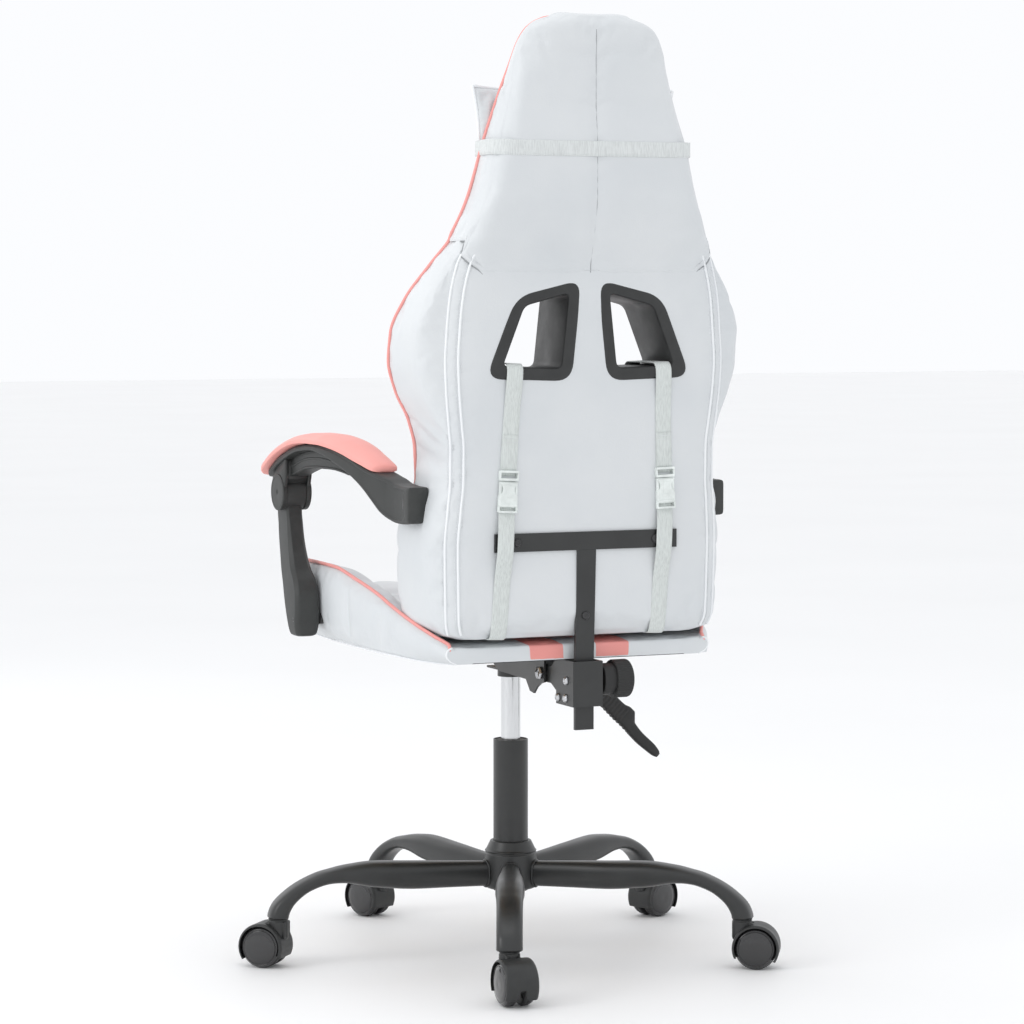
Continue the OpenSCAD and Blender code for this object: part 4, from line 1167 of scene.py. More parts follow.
def make_pillow(name, node, middle_z, half_w, half_h, y_back, y_front, wrap, stripes):
    """A pillow and its piping. Stripes, if any, run between those two shares of its half width."""
    verts, faces, shape = pillow_grid(half_w, half_h, y_back, y_front, wrap, 0.07)
    verts = verts + [0, 0, middle_z]
    columns = shape[1]
    mats = []
    for face in faces:
        column = min(face) % columns
        u = abs(2 * (column + 0.5) / (columns - 1) - 1)
        mats.append(1 if stripes and stripes[0] < u < stripes[1] and min(face) < shape[0] * columns else 0)
    piece = piece_of(name, verts, faces, ["white_leather", "pink_leather"], mats)
    merge_seam(piece)
    coords = coords_of(piece.data) / MM
    loop = edge_loop(verts, shape)
    distance = np.min(np.linalg.norm(coords[:, None, :] - loop[None, ::2, :], axis=2), axis=1)
    puff(piece, np.nonzero(distance < 2.0)[0], 7.0, pressure=4.0, slack=0.05)
    refine(piece)
    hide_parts(node)
    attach(piece, "backrest")
    welt = resampled(loop, 300)
    verts, faces = tube(welt, 2.2, 8, closed=True)
    edge = piece_of(name + "_piping", verts, faces, ["pink_piping" if stripes else "white_piping"])
    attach(edge, "backrest")


for strap_side in STRAPS:
    make_lumbar_strap(strap_side)
    make_buckle(strap_side)
make_head_strap()
make_pillow("head_pillow_cover", "head_pillow", middle_z=1146, half_w=151, half_h=86, y_back=202,
            y_front=134, wrap=32, stripes=None)
make_pillow("lumbar_pillow_cover", "lumbar_pillow", middle_z=646, half_w=147, half_h=89, y_back=122,
            y_front=54, wrap=0, stripes=(0.17, 0.51))


# ---------------------------------------------------------------- seat

# y, half width at the bottom, widest half width, crest height, crest inner x, height of the sitting face
SEAT_ROWS = [
    (-270, 176, 196, 492, 150, 490), (-262, 200, 222, 518, 168, 508), (-240, 212, 238, 546, 175, 520),
    (-195, 216, 245, 562, 178, 520), (-90, 221, 244, 560, 178, 512), (-30, 222, 238, 548, 180, 507),
    (27, 223, 234, 536, 182, 502), (55, 222, 231, 528, 185, 498), (80, 220, 229, 520, 190, 494),
    (86, 219, 228, 518, 200, 486), (110, 217, 226, 511, 204, 480), (157, 212, 222, 499, 205, 476),
    (200, 202, 214, 487, 203, 474), (226, 188, 201, 476, 186, 472), (232, 185, 199, 473, 184, 471.5),
]
seat_row = smooth_table(SEAT_ROWS)
SEAT_Z = 450
SEAT_FRONT, SEAT_REAR = -270, 232
MIDDLE_COLS, STRIPE_COLS, PANEL_COLS, SLOPE_COLS, SIDEWALL_COLS, UNDER_COLS = 4, 8, 10, 12, 16, 8
SEAT_STRIPE_IN = MIDDLE_COLS
SEAT_STRIPE_OUT = SEAT_STRIPE_IN + STRIPE_COLS
SEAT_FOOT = SEAT_STRIPE_OUT + PANEL_COLS
SEAT_CREST = SEAT_FOOT + SLOPE_COLS
SEAT_HEM = SEAT_CREST + SIDEWALL_COLS
SEAT_UNDER = SEAT_HEM + UNDER_COLS
SEAT_RING = 2 * SEAT_UNDER
STRIPE_X = (25.0, 75.0)


def seat_half_section(y):
    """(x, z) points of half of the seat's section, from the middle on top to the middle underneath."""
    hem_x, wide_x, crest_z, slope_x, sit_z = seat_row(y)[0]
    high = crest_z - SEAT_Z
    foot_x = slope_x - 20
    stripe_in, stripe_out = STRIPE_X
    points = [(stripe_in * i / MIDDLE_COLS, sit_z) for i in range(MIDDLE_COLS)]
    points += [(stripe_in + (stripe_out - stripe_in) * i / STRIPE_COLS, sit_z) for i in range(STRIPE_COLS)]
    points += [(stripe_out + (foot_x - stripe_out) * i / PANEL_COLS, sit_z) for i in range(PANEL_COLS)]
    crest_x = wide_x - 10
    rise = crest_z - sit_z
    slope = curve_through(
        [(foot_x, sit_z), (slope_x, sit_z + 0.12 * rise + 1),
         ((crest_x + slope_x) / 2 - 1, crest_z - 0.2 * rise - 2), (crest_x, crest_z)], SLOPE_COLS + 1)
    points += [tuple(point) for point in slope[:-1]]
    wall = curve_through(
        [(crest_x, crest_z), (wide_x - 2, SEAT_Z + 0.84 * high), (wide_x, SEAT_Z + 0.5 * high),
         (wide_x - 5, SEAT_Z + 0.18 * high), (hem_x, SEAT_Z)], SIDEWALL_COLS + 1)
    points += [tuple(point) for point in wall[:-1]]
    points += [(hem_x * (1 - i / UNDER_COLS), SEAT_Z) for i in range(UNDER_COLS + 1)]
    return np.array(points)


def seat_section(y):
    half = seat_half_section(y)
    ring = np.vstack([half, half[1:-1][::-1] * [-1, 1]])
    return np.column_stack([ring[:, 0], np.full(len(ring), y), ring[:, 1]])


SEAT_END_DEPTH = 2.0


def seat_end_rings(ring, way, steps=4):
    """A nearly flat end whose face belongs to the top and side panels."""
    spine = np.column_stack([ring[:, 0] * 0.985, ring[:, 1], np.full(len(ring), SEAT_Z + 1.0)])
    rings = []
    for i in range(1, steps + 1):
        angle = math.radians(88) * (i / steps)**0.8
        push = way * SEAT_END_DEPTH * math.sin(angle)**0.6
        rings.append(spine + (ring - spine) * math.cos(angle) + [0, push, 0])
    return rings


def seat_rows_y():
    front = [-270, -268, -265, -261, -256, -250, -243]
    rear = [215, 220, 224, 227.5, 230, 232]
    return front + np.linspace(-236, 209, 78).tolist() + rear


def seat_mat(column):
    half = min(column, SEAT_RING - 1 - column)
    if SEAT_STRIPE_IN <= half < SEAT_STRIPE_OUT:
        return 1
    return 2 if half >= SEAT_HEM + 1 else 0


def make_seat():
    rings = [seat_section(y) for y in seat_rows_y()]
    rings = seat_end_rings(rings[0], -1)[::-1] + rings + seat_end_rings(rings[-1], 1)
    verts, faces = skin(rings)
    mats = [seat_mat(i % SEAT_RING) for i in range(len(faces) - 2)] + [0, 0]
    piece = piece_of("seat_cover", verts, faces, ["white_leather", "patch_leather", "dust_cover"], mats)
    columns = np.arange(len(verts)) % SEAT_RING
    rows = np.arange(len(verts)) // SEAT_RING
    half = np.minimum(columns, SEAT_RING - columns)
    seams = np.isin(half, [SEAT_STRIPE_IN, SEAT_STRIPE_OUT, SEAT_FOOT, SEAT_CREST])
    fixed = (half >= SEAT_HEM) | (rows < 5) | (rows > rows.max() - 6)
    y = verts[:, 1]
    under_back = np.clip((y - 60) / 60, 0, 1)
    cap = np.where(half < SEAT_FOOT, 16.0, np.where(half < SEAT_CREST, 8.0, 3.0)) * (1 - 0.9 * under_back)
    puff(piece, np.nonzero(seams | fixed)[0], cap, pressure=4.0, slack=0.03)
    refine(piece)
    board = piece_of("board_recess", *box_part((-188.3, -236.3, 440), (188.3, 212.3, 462.3), 0.5),
                     ["black_plastic"])
    cut(piece, [board])
    piece.data.shade_smooth()
    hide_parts("seat_cushion")
    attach(piece, "seat")


def seat_point(column, y):
    return seat_section(y)[column % SEAT_RING]


def make_seat_piping():
    """Pink piping over both bolsters and across the front."""
    left = np.array([seat_point(SEAT_CREST, y) + [0.6, 0, 1.0] for y in np.linspace(-266, 226, 150)])
    tail = np.array([left[-1] + [t, 5 * t, -9 * t * t] for t in np.linspace(0.2, 1, 6)])
    left = np.vstack([left, tail])
    right = left * [-1, 1, 1]
    front_z = seat_point(0, SEAT_FRONT)[2]
    start, end = right[0], left[0]
    across = []
    for t in np.linspace(0.06, 0.94, 30):
        x = start[0] + (end[0] - start[0]) * t
        from_end = min(t, 1 - t, 0.15)
        drop = 0.5 - 0.5 * math.cos(2 * math.pi * from_end / 0.3)
        across.append([x, SEAT_FRONT - 0.8, start[2] + (front_z + 1.2 - start[2]) * drop])
    line = resampled(np.vstack([right[::-1], across, left]), 520)
    piping = piece_of("seat_piping", *tube(line, 2.4, 10), ["pink_piping"])
    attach(piping, "seat")


def make_seat_welts():
    """White welts down the rear corners and along the hem."""
    parts = []
    for way in (1, -1):
        wall = seat_half_section(SEAT_REAR)[SEAT_CREST + 1:SEAT_HEM + 1]
        corner = [[way * (x - 0.6), SEAT_REAR + 1.0, z + 0.6] for x, z in wall]
        parts.append((*tube(corner, 1.3, 8), 0))
        hem_line = [seat_point(SEAT_HEM, y) * [way, 1, 1] + [way * 0.3, 0, 0.4]
                    for y in np.linspace(-262, 230, 120)]
        parts.append((*tube(hem_line, 1.1, 6), 0))
    welts = joined("seat_welts", parts, ["white_piping"])
    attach(welts, "seat")


def make_seat_stitches():
    """A row of stitches on each side of the seams in the sitting face."""
    parts = []
    for column in (SEAT_FOOT, SEAT_STRIPE_IN, SEAT_STRIPE_OUT):
        for way in (1, -1):
            for gap in (-3.2, 3.2):
                line = [seat_point(column, y) * [way, 1, 1] + [gap, 0, 0.25]
                        for y in np.linspace(-262, 90, 120)]
                parts.append((*stitches(line, np.tile([0.0, 0.0, 1.0], (len(line), 1)), 5.2, 3.6, 0.4), 0))
    rows = joined("seat_stitches", parts, ["thread"])
    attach(rows, "seat")


make_seat()
make_seat_piping()
make_seat_welts()
make_seat_stitches()


# ---------------------------------------------------------------- armrests

ARM_X = 268.0
ARM_LOW = (-122.0, 484.0)
KNUCKLE = (-181.0, 664.5)
KNUCKLE_R = 26.5
EYE_HALF = 14.9
POST_X = 268.5

# z, y, half width, half depth, bevel, rounding
POST_ROWS = [
    (459.5, -131.5, 11, 12, 4.5, 4.0), (460.5, -131.5, 14, 15, 4.5, 4.0), (463, -131.6, 16, 17, 4.5, 4.0),
    (470, -131.9, 17.8, 18.3, 4.5, 4.0), (476, -132.3, 18.6, 19.5, 4.5, 4.0),
    (492, -134, 19.2, 23.7, 4.5, 4.0), (508, -137.2, 19, 27, 4.5, 3.4), (524, -141, 18.5, 28.9, 5.0, 1.6),
    (540, -149.2, 17.5, 28.2, 5.6, 0.9), (555, -161.2, 16, 25, 5.6, 0.8),
    (571, -169.3, 14.5, 23.8, 5.4, 0.8), (587, -175.4, 13.5, 23.2, 5.0, 0.8),
    (603, -179.9, 12.7, 22.8, 4.2, 0.8), (620, -183, 12.2, 22, 3.4, 0.8), (636, -186, 12, 21.4, 2.8, 0.8),
    (652, -186, 12, 18, 2.6, 0.8),
]
# x, y, z, dip, half width, half height
BEAM_ROWS = [
    (268.5, -224, 686.5, -26, 12, 2.0), (268.5, -221, 688, -26, 19, 3.6),
    (268.5, -212, 692.3, -26, 23, 4.5), (268.5, -200, 698.2, -26, 24, 4.5),
    (268.5, -183, 706.4, -25, 24, 4.6), (268.5, -165, 713.5, -21, 24, 4.6),
    (268.3, -146, 719.3, -17.5, 24, 4.6), (267.3, -122, 726.4, -13.7, 24, 4.6),
    (266, -98, 731.1, -8.7, 24, 4.6), (263.5, -56, 734.3, -1, 23.5, 4.8), (260, -20, 731.5, 5, 23, 7),
    (255, 13, 724, 10, 22, 10.5), (249, 42, 714.5, 15, 21, 12.8), (244, 66, 704, 18, 20, 14.5),
    (240, 83, 695, 18, 19, 17), (235.5, 104, 684, 14, 18, 22), (232.5, 120, 676, 8, 17, 25.8),
    (229.5, 134, 671, 3, 16.5, 27.2), (226.5, 154, 665.8, 0, 16, 26.8), (225, 175, 664.5, 0, 16, 26),
    (225, 193, 665.2, 0, 16, 25), (225, 198, 665.4, 0, 15.4, 24.3), (225, 200, 665.5, 0, 13.6, 22.5),
]
# the narrower rib under the front of the beam, in the same columns
RIB_ROWS = [
    (266, -172, 697.5, 0, 12, 8.5), (266, -150, 702.2, 0, 13, 13.8), (265, -122, 710.2, 0, 13, 14.8),
    (263.5, -90, 716.5, 0, 13, 14.5), (261, -50, 718.5, 0, 13, 14.5), (256, -8, 715.5, 0, 13, 11.5),
    (250, 28, 709, 0, 13, 9), (244.5, 56, 699.3, 0, 13, 6.8),
]
# x, y, z of the underside, dip, half width, thickness in the middle
PAD_ROWS = [
    (268.5, -235.5, 686, -26, 12, 3), (268.5, -234, 686.7, -26, 19, 6), (268.5, -231, 688.2, -26, 25, 9),
    (268.5, -226, 690.6, -26, 29, 12), (268.5, -212, 697.4, -26, 32.5, 14.5),
    (268.5, -200, 703.3, -26, 33, 15), (268.5, -183, 711.5, -25, 33, 15.5),
    (268.5, -165, 718.6, -21, 33, 15.5), (268.3, -146, 724.8, -17, 33, 15.5),
    (267.3, -122, 731.4, -13.7, 33, 15.5), (266, -98, 736, -8.7, 33.5, 15.5),
    (263.5, -56, 739.3, -1, 33.5, 15.5), (260, -20, 738.8, 5, 32.5, 15.5), (255, 13, 735, 10, 31, 15.5),
    (249.5, 42, 728.2, 15, 28.5, 15), (245, 66, 720, 18, 25.5, 14), (241, 83, 714, 18, 23, 12.5),
    (237.6, 98, 708.8, 18, 21, 11), (236.3, 103.5, 707, 18, 18.5, 9), (235.8, 106, 706.2, 18, 14, 6),
    (235.7, 107, 705.9, 18, 9, 3),
]
PAD_EDGE = 8.0


def along_path(rows, count):
    """Rows of stations re-spaced evenly and smoothly along their path."""
    rows = np.array(rows, float)
    run = run_along(rows[:, :3])
    table = smooth_table(np.column_stack([run, rows]))
    where = np.sort(np.concatenate([np.linspace(0, run[-1], count), run[1:3], run[-3:-1]]))
    return table(where)


def path_ring(row, shape, offset=0.0):
    """A ring of (u, v) points square to the path at this station."""
    x, y, z, dip = row[:4]
    dip = math.radians(dip)
    v = shape[:, 1] + offset
    return np.column_stack([x - shape[:, 0], y + v * math.sin(dip), z + v * math.cos(dip)])


def groove(value, middle, width, depth):
    """Depth of a soft groove of that width at a distance from its middle."""
    return -depth * np.exp(-((value - middle) / width)**2)


def step_up(value, middle, width):
    """A smooth step from 0 to 1."""
    return 1 / (1 + np.exp(-(value - middle) / width))


def bevelled_outline(half_u, half_v, bevel, rounding):
    """A box outline with bevelled corners, their edges eased, and points along its sides."""
    inner_u, inner_v = half_u - bevel, half_v - bevel
    corners = [(half_u, -inner_v), (half_u, inner_v), (inner_u, half_v), (-inner_u, half_v),
               (-half_u, inner_v), (-half_u, -inner_v), (-inner_u, -half_v), (inner_u, -half_v)]
    return rounded_outline(corners, rounding, 4)


def post_parts():
    """The post, the eye at its top and the recessed screw near its foot."""
    table = smooth_table(POST_ROWS)
    rings = []
    for z in sorted(np.linspace(460, 652, 84).tolist() + [459.5, 461.5, 464]):
        y, half_width, half_depth, bevel, rounding = table(z)[0]
        ring = bevelled_outline(half_width, half_depth, bevel, rounding)
        rings.append(np.column_stack([POST_X + ring[:, 0], y + ring[:, 1], np.full(len(ring), z)]))
    parts = [(*skin(rings), 0)]
    eye_r = KNUCKLE_R - 1.5
    eye = rounded_outline([(5.2, -EYE_HALF), (eye_r, -EYE_HALF), (eye_r, EYE_HALF), (5.2, EYE_HALF)], 0.8)
    parts.append((*lathe(eye, 80, along_x(ARM_X, *KNUCKLE)), 0))
    screw = rounded_outline([(0.01, 0), (3.4, 0), (3.4, 0.9), (2.0, 0.9), (1.8, 0.3), (0.01, 0.3)], 0.25, 2)
    parts.append((*lathe(screw, 24, along_x(286.9, *ARM_LOW)), 1))
    return parts


PANEL_RIM = 5.0           # round the recessed panel in the side of the rear block
PANEL_END, PANEL_CORNER, PANEL_DEPTH = 188.0, 13.0, 2.0


def inside_panel(y, height, half_height):
    """How far a point is inside the recessed panel, whose rear corners are rounded."""
    along = y - (PANEL_END - PANEL_CORNER)
    across = np.abs(height) - (half_height - PANEL_RIM - PANEL_CORNER)
    outside = np.hypot(max(along, 0), np.maximum(across, 0)) + np.minimum(np.maximum(along, across), 0)
    return PANEL_CORNER - outside


def rail_ring(row):
    """A ring of the beam, with a lip under the pad and a recessed panel on the sides of its rear block."""
    y, half_width, half_height = row[1], row[4], row[5]
    square = 0.36 - 0.16 * step_up(y, 90, 12)
    shape = superellipse(half_width, half_height, square, 128)
    height = shape[:, 1]
    on_side = np.abs(shape[:, 0]) > 0.86 * half_width
    lip = groove(height / half_height, 0.55, 0.10, 1.1) * step_up(y, -205, 3) * (1 - step_up(y, 60, 8))
    panel = step_up(inside_panel(y, height, half_height), 0.5, 0.25) * step_up(y, 72, 10)
    dent = on_side * (lip - PANEL_DEPTH * panel)
    return shape + np.column_stack([np.sign(shape[:, 0]) * dent, np.zeros(len(shape))])


def cheek_parts():
    """The two discs of the knuckle, each with a raised rim, and the plates that carry them."""
    cheek = rounded_outline(
        [(0.05, 15.3), (KNUCKLE_R, 15.2), (KNUCKLE_R, 22.0), (4.2, 21.7), (3.2, 20.7), (0.05, 20.5)], 1.0)
    rim = rounded_outline(
        [(KNUCKLE_R - 4.4, 21.4), (KNUCKLE_R - 2.8, 21.4), (KNUCKLE_R - 2.8, 22.2),
         (KNUCKLE_R - 4.4, 22.2)], 0.3)
    neck = [(-204, 668), (-158, 668), (-150, 690), (-150, 716), (-165, 711), (-183, 702), (-204, 689)]
    levels = [(15.3, 0.8), (16.0, 0.0), (19.8, 0.0), (20.6, 0.9)]
    other_way = [(-height, inset) for height, inset in reversed(levels)]
    parts = []
    for way in (1, -1):
        parts.append((*lathe(cheek, 80, along_x(ARM_X, *KNUCKLE, way)), 0))
        parts.append((*lathe(rim, 80, along_x(ARM_X, *KNUCKLE, way)), 0))
        plate = levels if way > 0 else other_way
        parts.append((*bands(rounded_outline(neck, 5, 6), plate, along_x(ARM_X, 0, 0)), 0))
    return parts


def saddle_part():
    """The block between the cheeks, arched over the eye of the post."""
    radius = KNUCKLE_R + 0.4
    arch = []
    for angle in np.radians(np.linspace(150, 30, 13)):
        arch.append((KNUCKLE[0] + radius * math.cos(angle), KNUCKLE[1] + radius * math.sin(angle)))
    outline = arch + [(-152, 690), (-150, 716), (-165, 711), (-183, 702), (-204, 689)]
    levels = [(-16, 0.4), (-15.6, 0), (15.6, 0), (16, 0.4)]
    return (*bands(np.array(outline), levels, along_x(ARM_X, 0, 0)), 0)


def rib_parts():
    """The rib under the beam, with raised edges round its sides."""
    rows = along_path(RIB_ROWS, 60)
    rings = [path_ring(row, superellipse(row[4], row[5], 0.3, 64)) for row in rows]
    parts = [(*skin(rings), 0)]
    for way in (1, -1):
        for share, reach in ((-0.82, 0), (0.02, 8)):
            edge = rows[4:-6 - reach]
            line = np.column_stack([edge[:, 0] + way * (edge[:, 4] - 0.3), edge[:, 1],
                                    edge[:, 2] + share * edge[:, 5]])
            parts.append((*tube(line, 1.7, 10), 0))
        front = rows[4]
        post = [[front[0] + way * (front[4] - 0.3), front[1], front[2] + share * front[5]]
                for share in np.linspace(-0.82, 0.3, 8)]
        parts.append((*tube(post, 1.7, 10), 0))
    return parts


def beam_parts():
    """The beam with the knuckle's saddle and cheeks, its rib, and the plug in its rear block."""
    rings = [path_ring(row, rail_ring(row)) for row in along_path(BEAM_ROWS, 230)]
    parts = [(*skin(rings), 0), saddle_part()]
    parts += cheek_parts()
    parts += rib_parts()
    turn = np.array([[math.cos(-0.12), math.sin(-0.12)], [-math.sin(-0.12), math.cos(-0.12)]])
    plug = superellipse(2.4, 7.5, 0.7, 32) @ turn + [167, 663]
    parts.append((*bands(plug, [(0, 0), (0.3, 0), (0.6, 0.4)], along_x(238.3, 0, 0)), 1))
    return parts


def pad_ring_shape(half_width, middle, count=84):
    """Flat underneath, upright at the edges and softly crowned on top."""
    edge = min(PAD_EDGE, 0.62 * middle)
    shape = superellipse(half_width, edge / 2, 0.34, count)
    share = shape[:, 0] / half_width
    crown = (middle - edge) * (1 - np.abs(share)**2.6) * (shape[:, 1] > 0)
    return shape + np.column_stack([np.zeros(count), edge / 2 + crown])


def pad_parts():
    rings = [path_ring(row, pad_ring_shape(row[4], row[5]), 0.3) for row in along_path(PAD_ROWS, 100)]
    return [(*skin(rings), 0)]


def on_both_sides(name, parts, mats, node, body):
    """One piece from the parts as they are, for the left, and one from their mirror image."""
    for way, side in ((1, "left"), (-1, "right")):
        sided = [(np.asarray(verts) * [way, 1, 1], faces, mat) for verts, faces, mat in parts]
        piece = joined(name + "_" + side, sided, mats)
        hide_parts(node + "_" + side)
        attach(piece, body + "_" + side)


on_both_sides("armrest_post", post_parts(), ["arm_plastic", "black_screw"], "arm_post", "arm_post")
on_both_sides("armrest_beam", beam_parts(), ["arm_plastic", "black_plastic"], "arm_beam", "arm_beam")
on_both_sides("armrest_pad", pad_parts(), ["pink_leather"], "arm_pad", "arm_beam")


# ---------------------------------------------------------------- base

LEG_COUNT = 5
FIRST_LEG = 65.8
STEM_CIRCLE = 345.0
HUB_R = 38.0
COLUMN_R = 25.0

# distance out, height, dip, half width, half height
LEG_ROWS = [
    (32, 117.5, 0, 13, 18), (90, 119.5, 0, 15.5, 19), (150, 121.5, -2, 19.5, 20),
    (205, 125.5, 0, 20.5, 18.5), (245, 127.5, 5, 19.5, 13), (274, 124.7, 14, 18.5, 10),
    (304, 115, 36, 18, 9.5), (328, 99.5, 55, 18, 11), (341, 85, 73, 18, 13.5), (345.3, 74, 88, 18, 14.4),
    (345.5, 71.8, 90, 18, 14.5), (345.5, 71, 90, 17, 13.6),
]


def turned(angle, place=(0.0, 0.0, 0.0)):
    """A place turned about Z by that many degrees."""
    c, s = math.cos(math.radians(angle)), math.sin(math.radians(angle))
    return axes_at(place, (c, s, 0), (-s, c, 0), (0, 0, 1))


def leg_parts(number):
    """One leg of the star base, and the weld bead where it meets the hub."""
    rows = np.array(LEG_ROWS, float)
    run = run_along(rows[:, :2])
    table = smooth_table(np.column_stack([run, rows]))
    where = np.sort(np.concatenate([np.linspace(0, run[-1], 70), run[-4:-1]]))
    rings = []
    for out, z, dip, half_w, half_h in table(where):
        dip = math.radians(dip)
        shape = superellipse(half_w, half_h, 0.72, 48)
        rings.append(np.column_stack([out + shape[:, 1] * math.sin(dip), shape[:, 0],
                                      z + shape[:, 1] * math.cos(dip)]))
    place = turned(FIRST_LEG + 360 / LEG_COUNT * number)
    verts, faces = skin(rings)
    parts = [(placed(verts, place), faces, 0)]
    shape = superellipse(13.6, 18.6, 0.72, 90)
    reach = np.sqrt(HUB_R**2 - shape[:, 0]**2)
    ripple = 0.35 * np.sin(np.arange(len(shape)) * 2 * math.pi / 3)
    bead = np.column_stack([reach + 0.6 + ripple, shape[:, 0], 117.6 + shape[:, 1]])
    verts, faces = tube(bead, 1.9, 8, closed=True)
    parts.append((placed(verts, place), faces, 0))
    return parts


def make_base():
    parts = []
    for number in range(LEG_COUNT):
        parts.extend(leg_parts(number))
    legs = joined("base_star_legs", parts, ["black_metal"])
    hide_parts("base_legs")
    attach(legs, "base")
    outline = [(COLUMN_R + 0.05, 96), (HUB_R - 3, 96), (HUB_R, 99), (HUB_R, 146), (HUB_R - 1.6, 147.2),
               (HUB_R - 1.6, 148.6), (HUB_R - 0.4, 150), (HUB_R - 2.5, 152), (COLUMN_R + 5.4, 162.4),
               (COLUMN_R + 4.4, 164.6), (COLUMN_R + 0.05, 165)]
    hub = joined("base_hub_casting", [(*lathe(rounded_outline(outline, 1.0, 3), 96), 0)], ["black_metal"])
    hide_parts("base_hub")
    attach(hub, "base")


# ---------------------------------------------------------------- casters

CASTER_HEADINGS = [87, 148, 201, 293, 316]
TRAIL = 20.0
WHEEL_R = 30.0
WHEEL_GAP = 8.5
WHEEL_W = 19.5
HOOD_R = 33.5
HOOD_INNER_R = 31.0
HOOD_HALF = WHEEL_GAP / 2 + WHEEL_W - 0.5
NECK_R = 14.5


def stem_place(number):
    angle = math.radians(FIRST_LEG + 360 / LEG_COUNT * (number - 1))
    return np.array([STEM_CIRCLE * math.cos(angle), STEM_CIRCLE * math.sin(angle), 0.0])


def caster_place(number):
    """Local +X is the way the caster trails; the stem stands at the origin."""
    return turned(CASTER_HEADINGS[number - 1], stem_place(number))


def hood_shell():
    """The arched cover over both wheels, cut away below, with a notch between the wheels at the back."""
    widths = np.concatenate([[-1.0, -0.985, -0.95, -0.90], np.linspace(-0.84, 0.84, 37),
                             [0.90, 0.95, 0.985, 1.0]])
    steps = 72
    rings = []
    for side in (0, 1):
        for w in (widths if side == 0 else widths[::-1]):
            across = w * HOOD_HALF
            round_off = 2.6 * max(0.0, (abs(w) - 0.80) / 0.20)**2.4
            radius = HOOD_R - round_off if side == 0 else HOOD_INNER_R - 0.4 * round_off
            notch = 1 / (1 + math.exp((abs(across) - 5.2) / 0.35))
            low_back = -34 + 26 * notch
            low_front = 206
            line = []
            for i in range(steps + 1):
                angle = math.radians(low_back + (low_front - low_back) * i / steps)
                line.append([TRAIL + radius * math.cos(angle), across, WHEEL_R + radius * math.sin(angle)])
            rings.append(line)
    rings = np.array(rings)
    rows, count = rings.shape[:2]
    verts = rings.reshape(-1, 3)
    faces = []
    for row in range(rows):
        for i in range(count - 1):
            a = row * count + i
            b = ((row + 1) % rows) * count + i
            faces.append([a, b, b + 1, a + 1])
    half = rows // 2
    for i in (0, count - 1):
        for row in range(half - 1):
            other = rows - 1 - row
            faces.append([row * count + i, (row + 1) * count + i, (other - 1) * count + i,
                          other * count + i])
    return verts, faces


def hood_parts():
    """The caster's cover, the web between its wheels, and the neck that holds the stem."""
    parts = [(*hood_shell(), 0)]
    angle = np.radians(np.linspace(-6, 196, 60))
    arc = np.column_stack([TRAIL + (HOOD_INNER_R + 0.6) * np.cos(angle),
                           WHEEL_R + (HOOD_INNER_R + 0.6) * np.sin(angle)])
    web = np.vstack([arc, [[TRAIL - 24, 20], [TRAIL, 18.4], [TRAIL + 24, 21]]])
    matrix = axes_at((0, 0, 0), (1, 0, 0), (0, 0, 1), (0, -1, 0))
    half = WHEEL_GAP / 2 - 1.2
    parts.append((*bands(resampled(np.vstack([web, web[:1]]), 140)[:-1],
                         [(-half, 0.6), (-half + 0.6, 0), (half - 0.6, 0), (half, 0.6)], matrix), 0))
    neck = rounded_outline(
        [(6.0, 40), (NECK_R - 1.5, 40), (NECK_R, 43.5), (NECK_R, 66.0), (NECK_R - 1.0, 67.2),
         (NECK_R - 1.0, 68.4), (NECK_R, 69.2), (NECK_R - 0.6, 70.5), (6.0, 70.5)], 0.5)
    parts.append((*lathe(neck, 56), 0))
    # Shoulders that blend the neck into the arch
    for way in (-1, 1):
        fin = rounded_outline([(-13.5, 42), (12, 48), (31, 60.2), (15, 64), (10, 68), (-13.5, 66)], 2.0, 6)
        parts.append((*bands(fin, [(-2.2, 0.8), (-1.5, 0), (1.5, 0), (2.2, 0.8)],
                             axes_at((0, way * 8.2, 0), (1, 0, 0), (0, 0, 1), (0, -1, 0))), 0))
    return parts


def wheel_profiles():
    """The outlines of a wheel's tread and of its glossy outer face."""
    tread = rounded_outline(
        [(6.0, 0.2), (25.5, 0.2), (WHEEL_R - 1.8, 0.5), (WHEEL_R, 2.4), (WHEEL_R, 5.2), (WHEEL_R - 0.7, 5.7),
         (WHEEL_R - 0.7, 6.3), (WHEEL_R, 6.8), (WHEEL_R, 10.6), (WHEEL_R - 0.9, 13.2),
         (WHEEL_R - 2.4, 14.6), (6.0, 14.0)], 0.4, 2)
    face = rounded_outline(
        [(0.05, 11.5), (WHEEL_R - 1.6, 11.5), (WHEEL_R - 1.4, 13.6), (WHEEL_R - 2.6, 15.9),
         (WHEEL_R - 4.4, 17.2), (WHEEL_R - 5.0, 16.5), (WHEEL_R - 5.8, 16.5), (WHEEL_R - 6.4, 17.6),
         (WHEEL_R - 11, 18.7), (WHEEL_R - 20, 19.5), (0.05, 19.8)], 0.45, 3)
    return tread, face


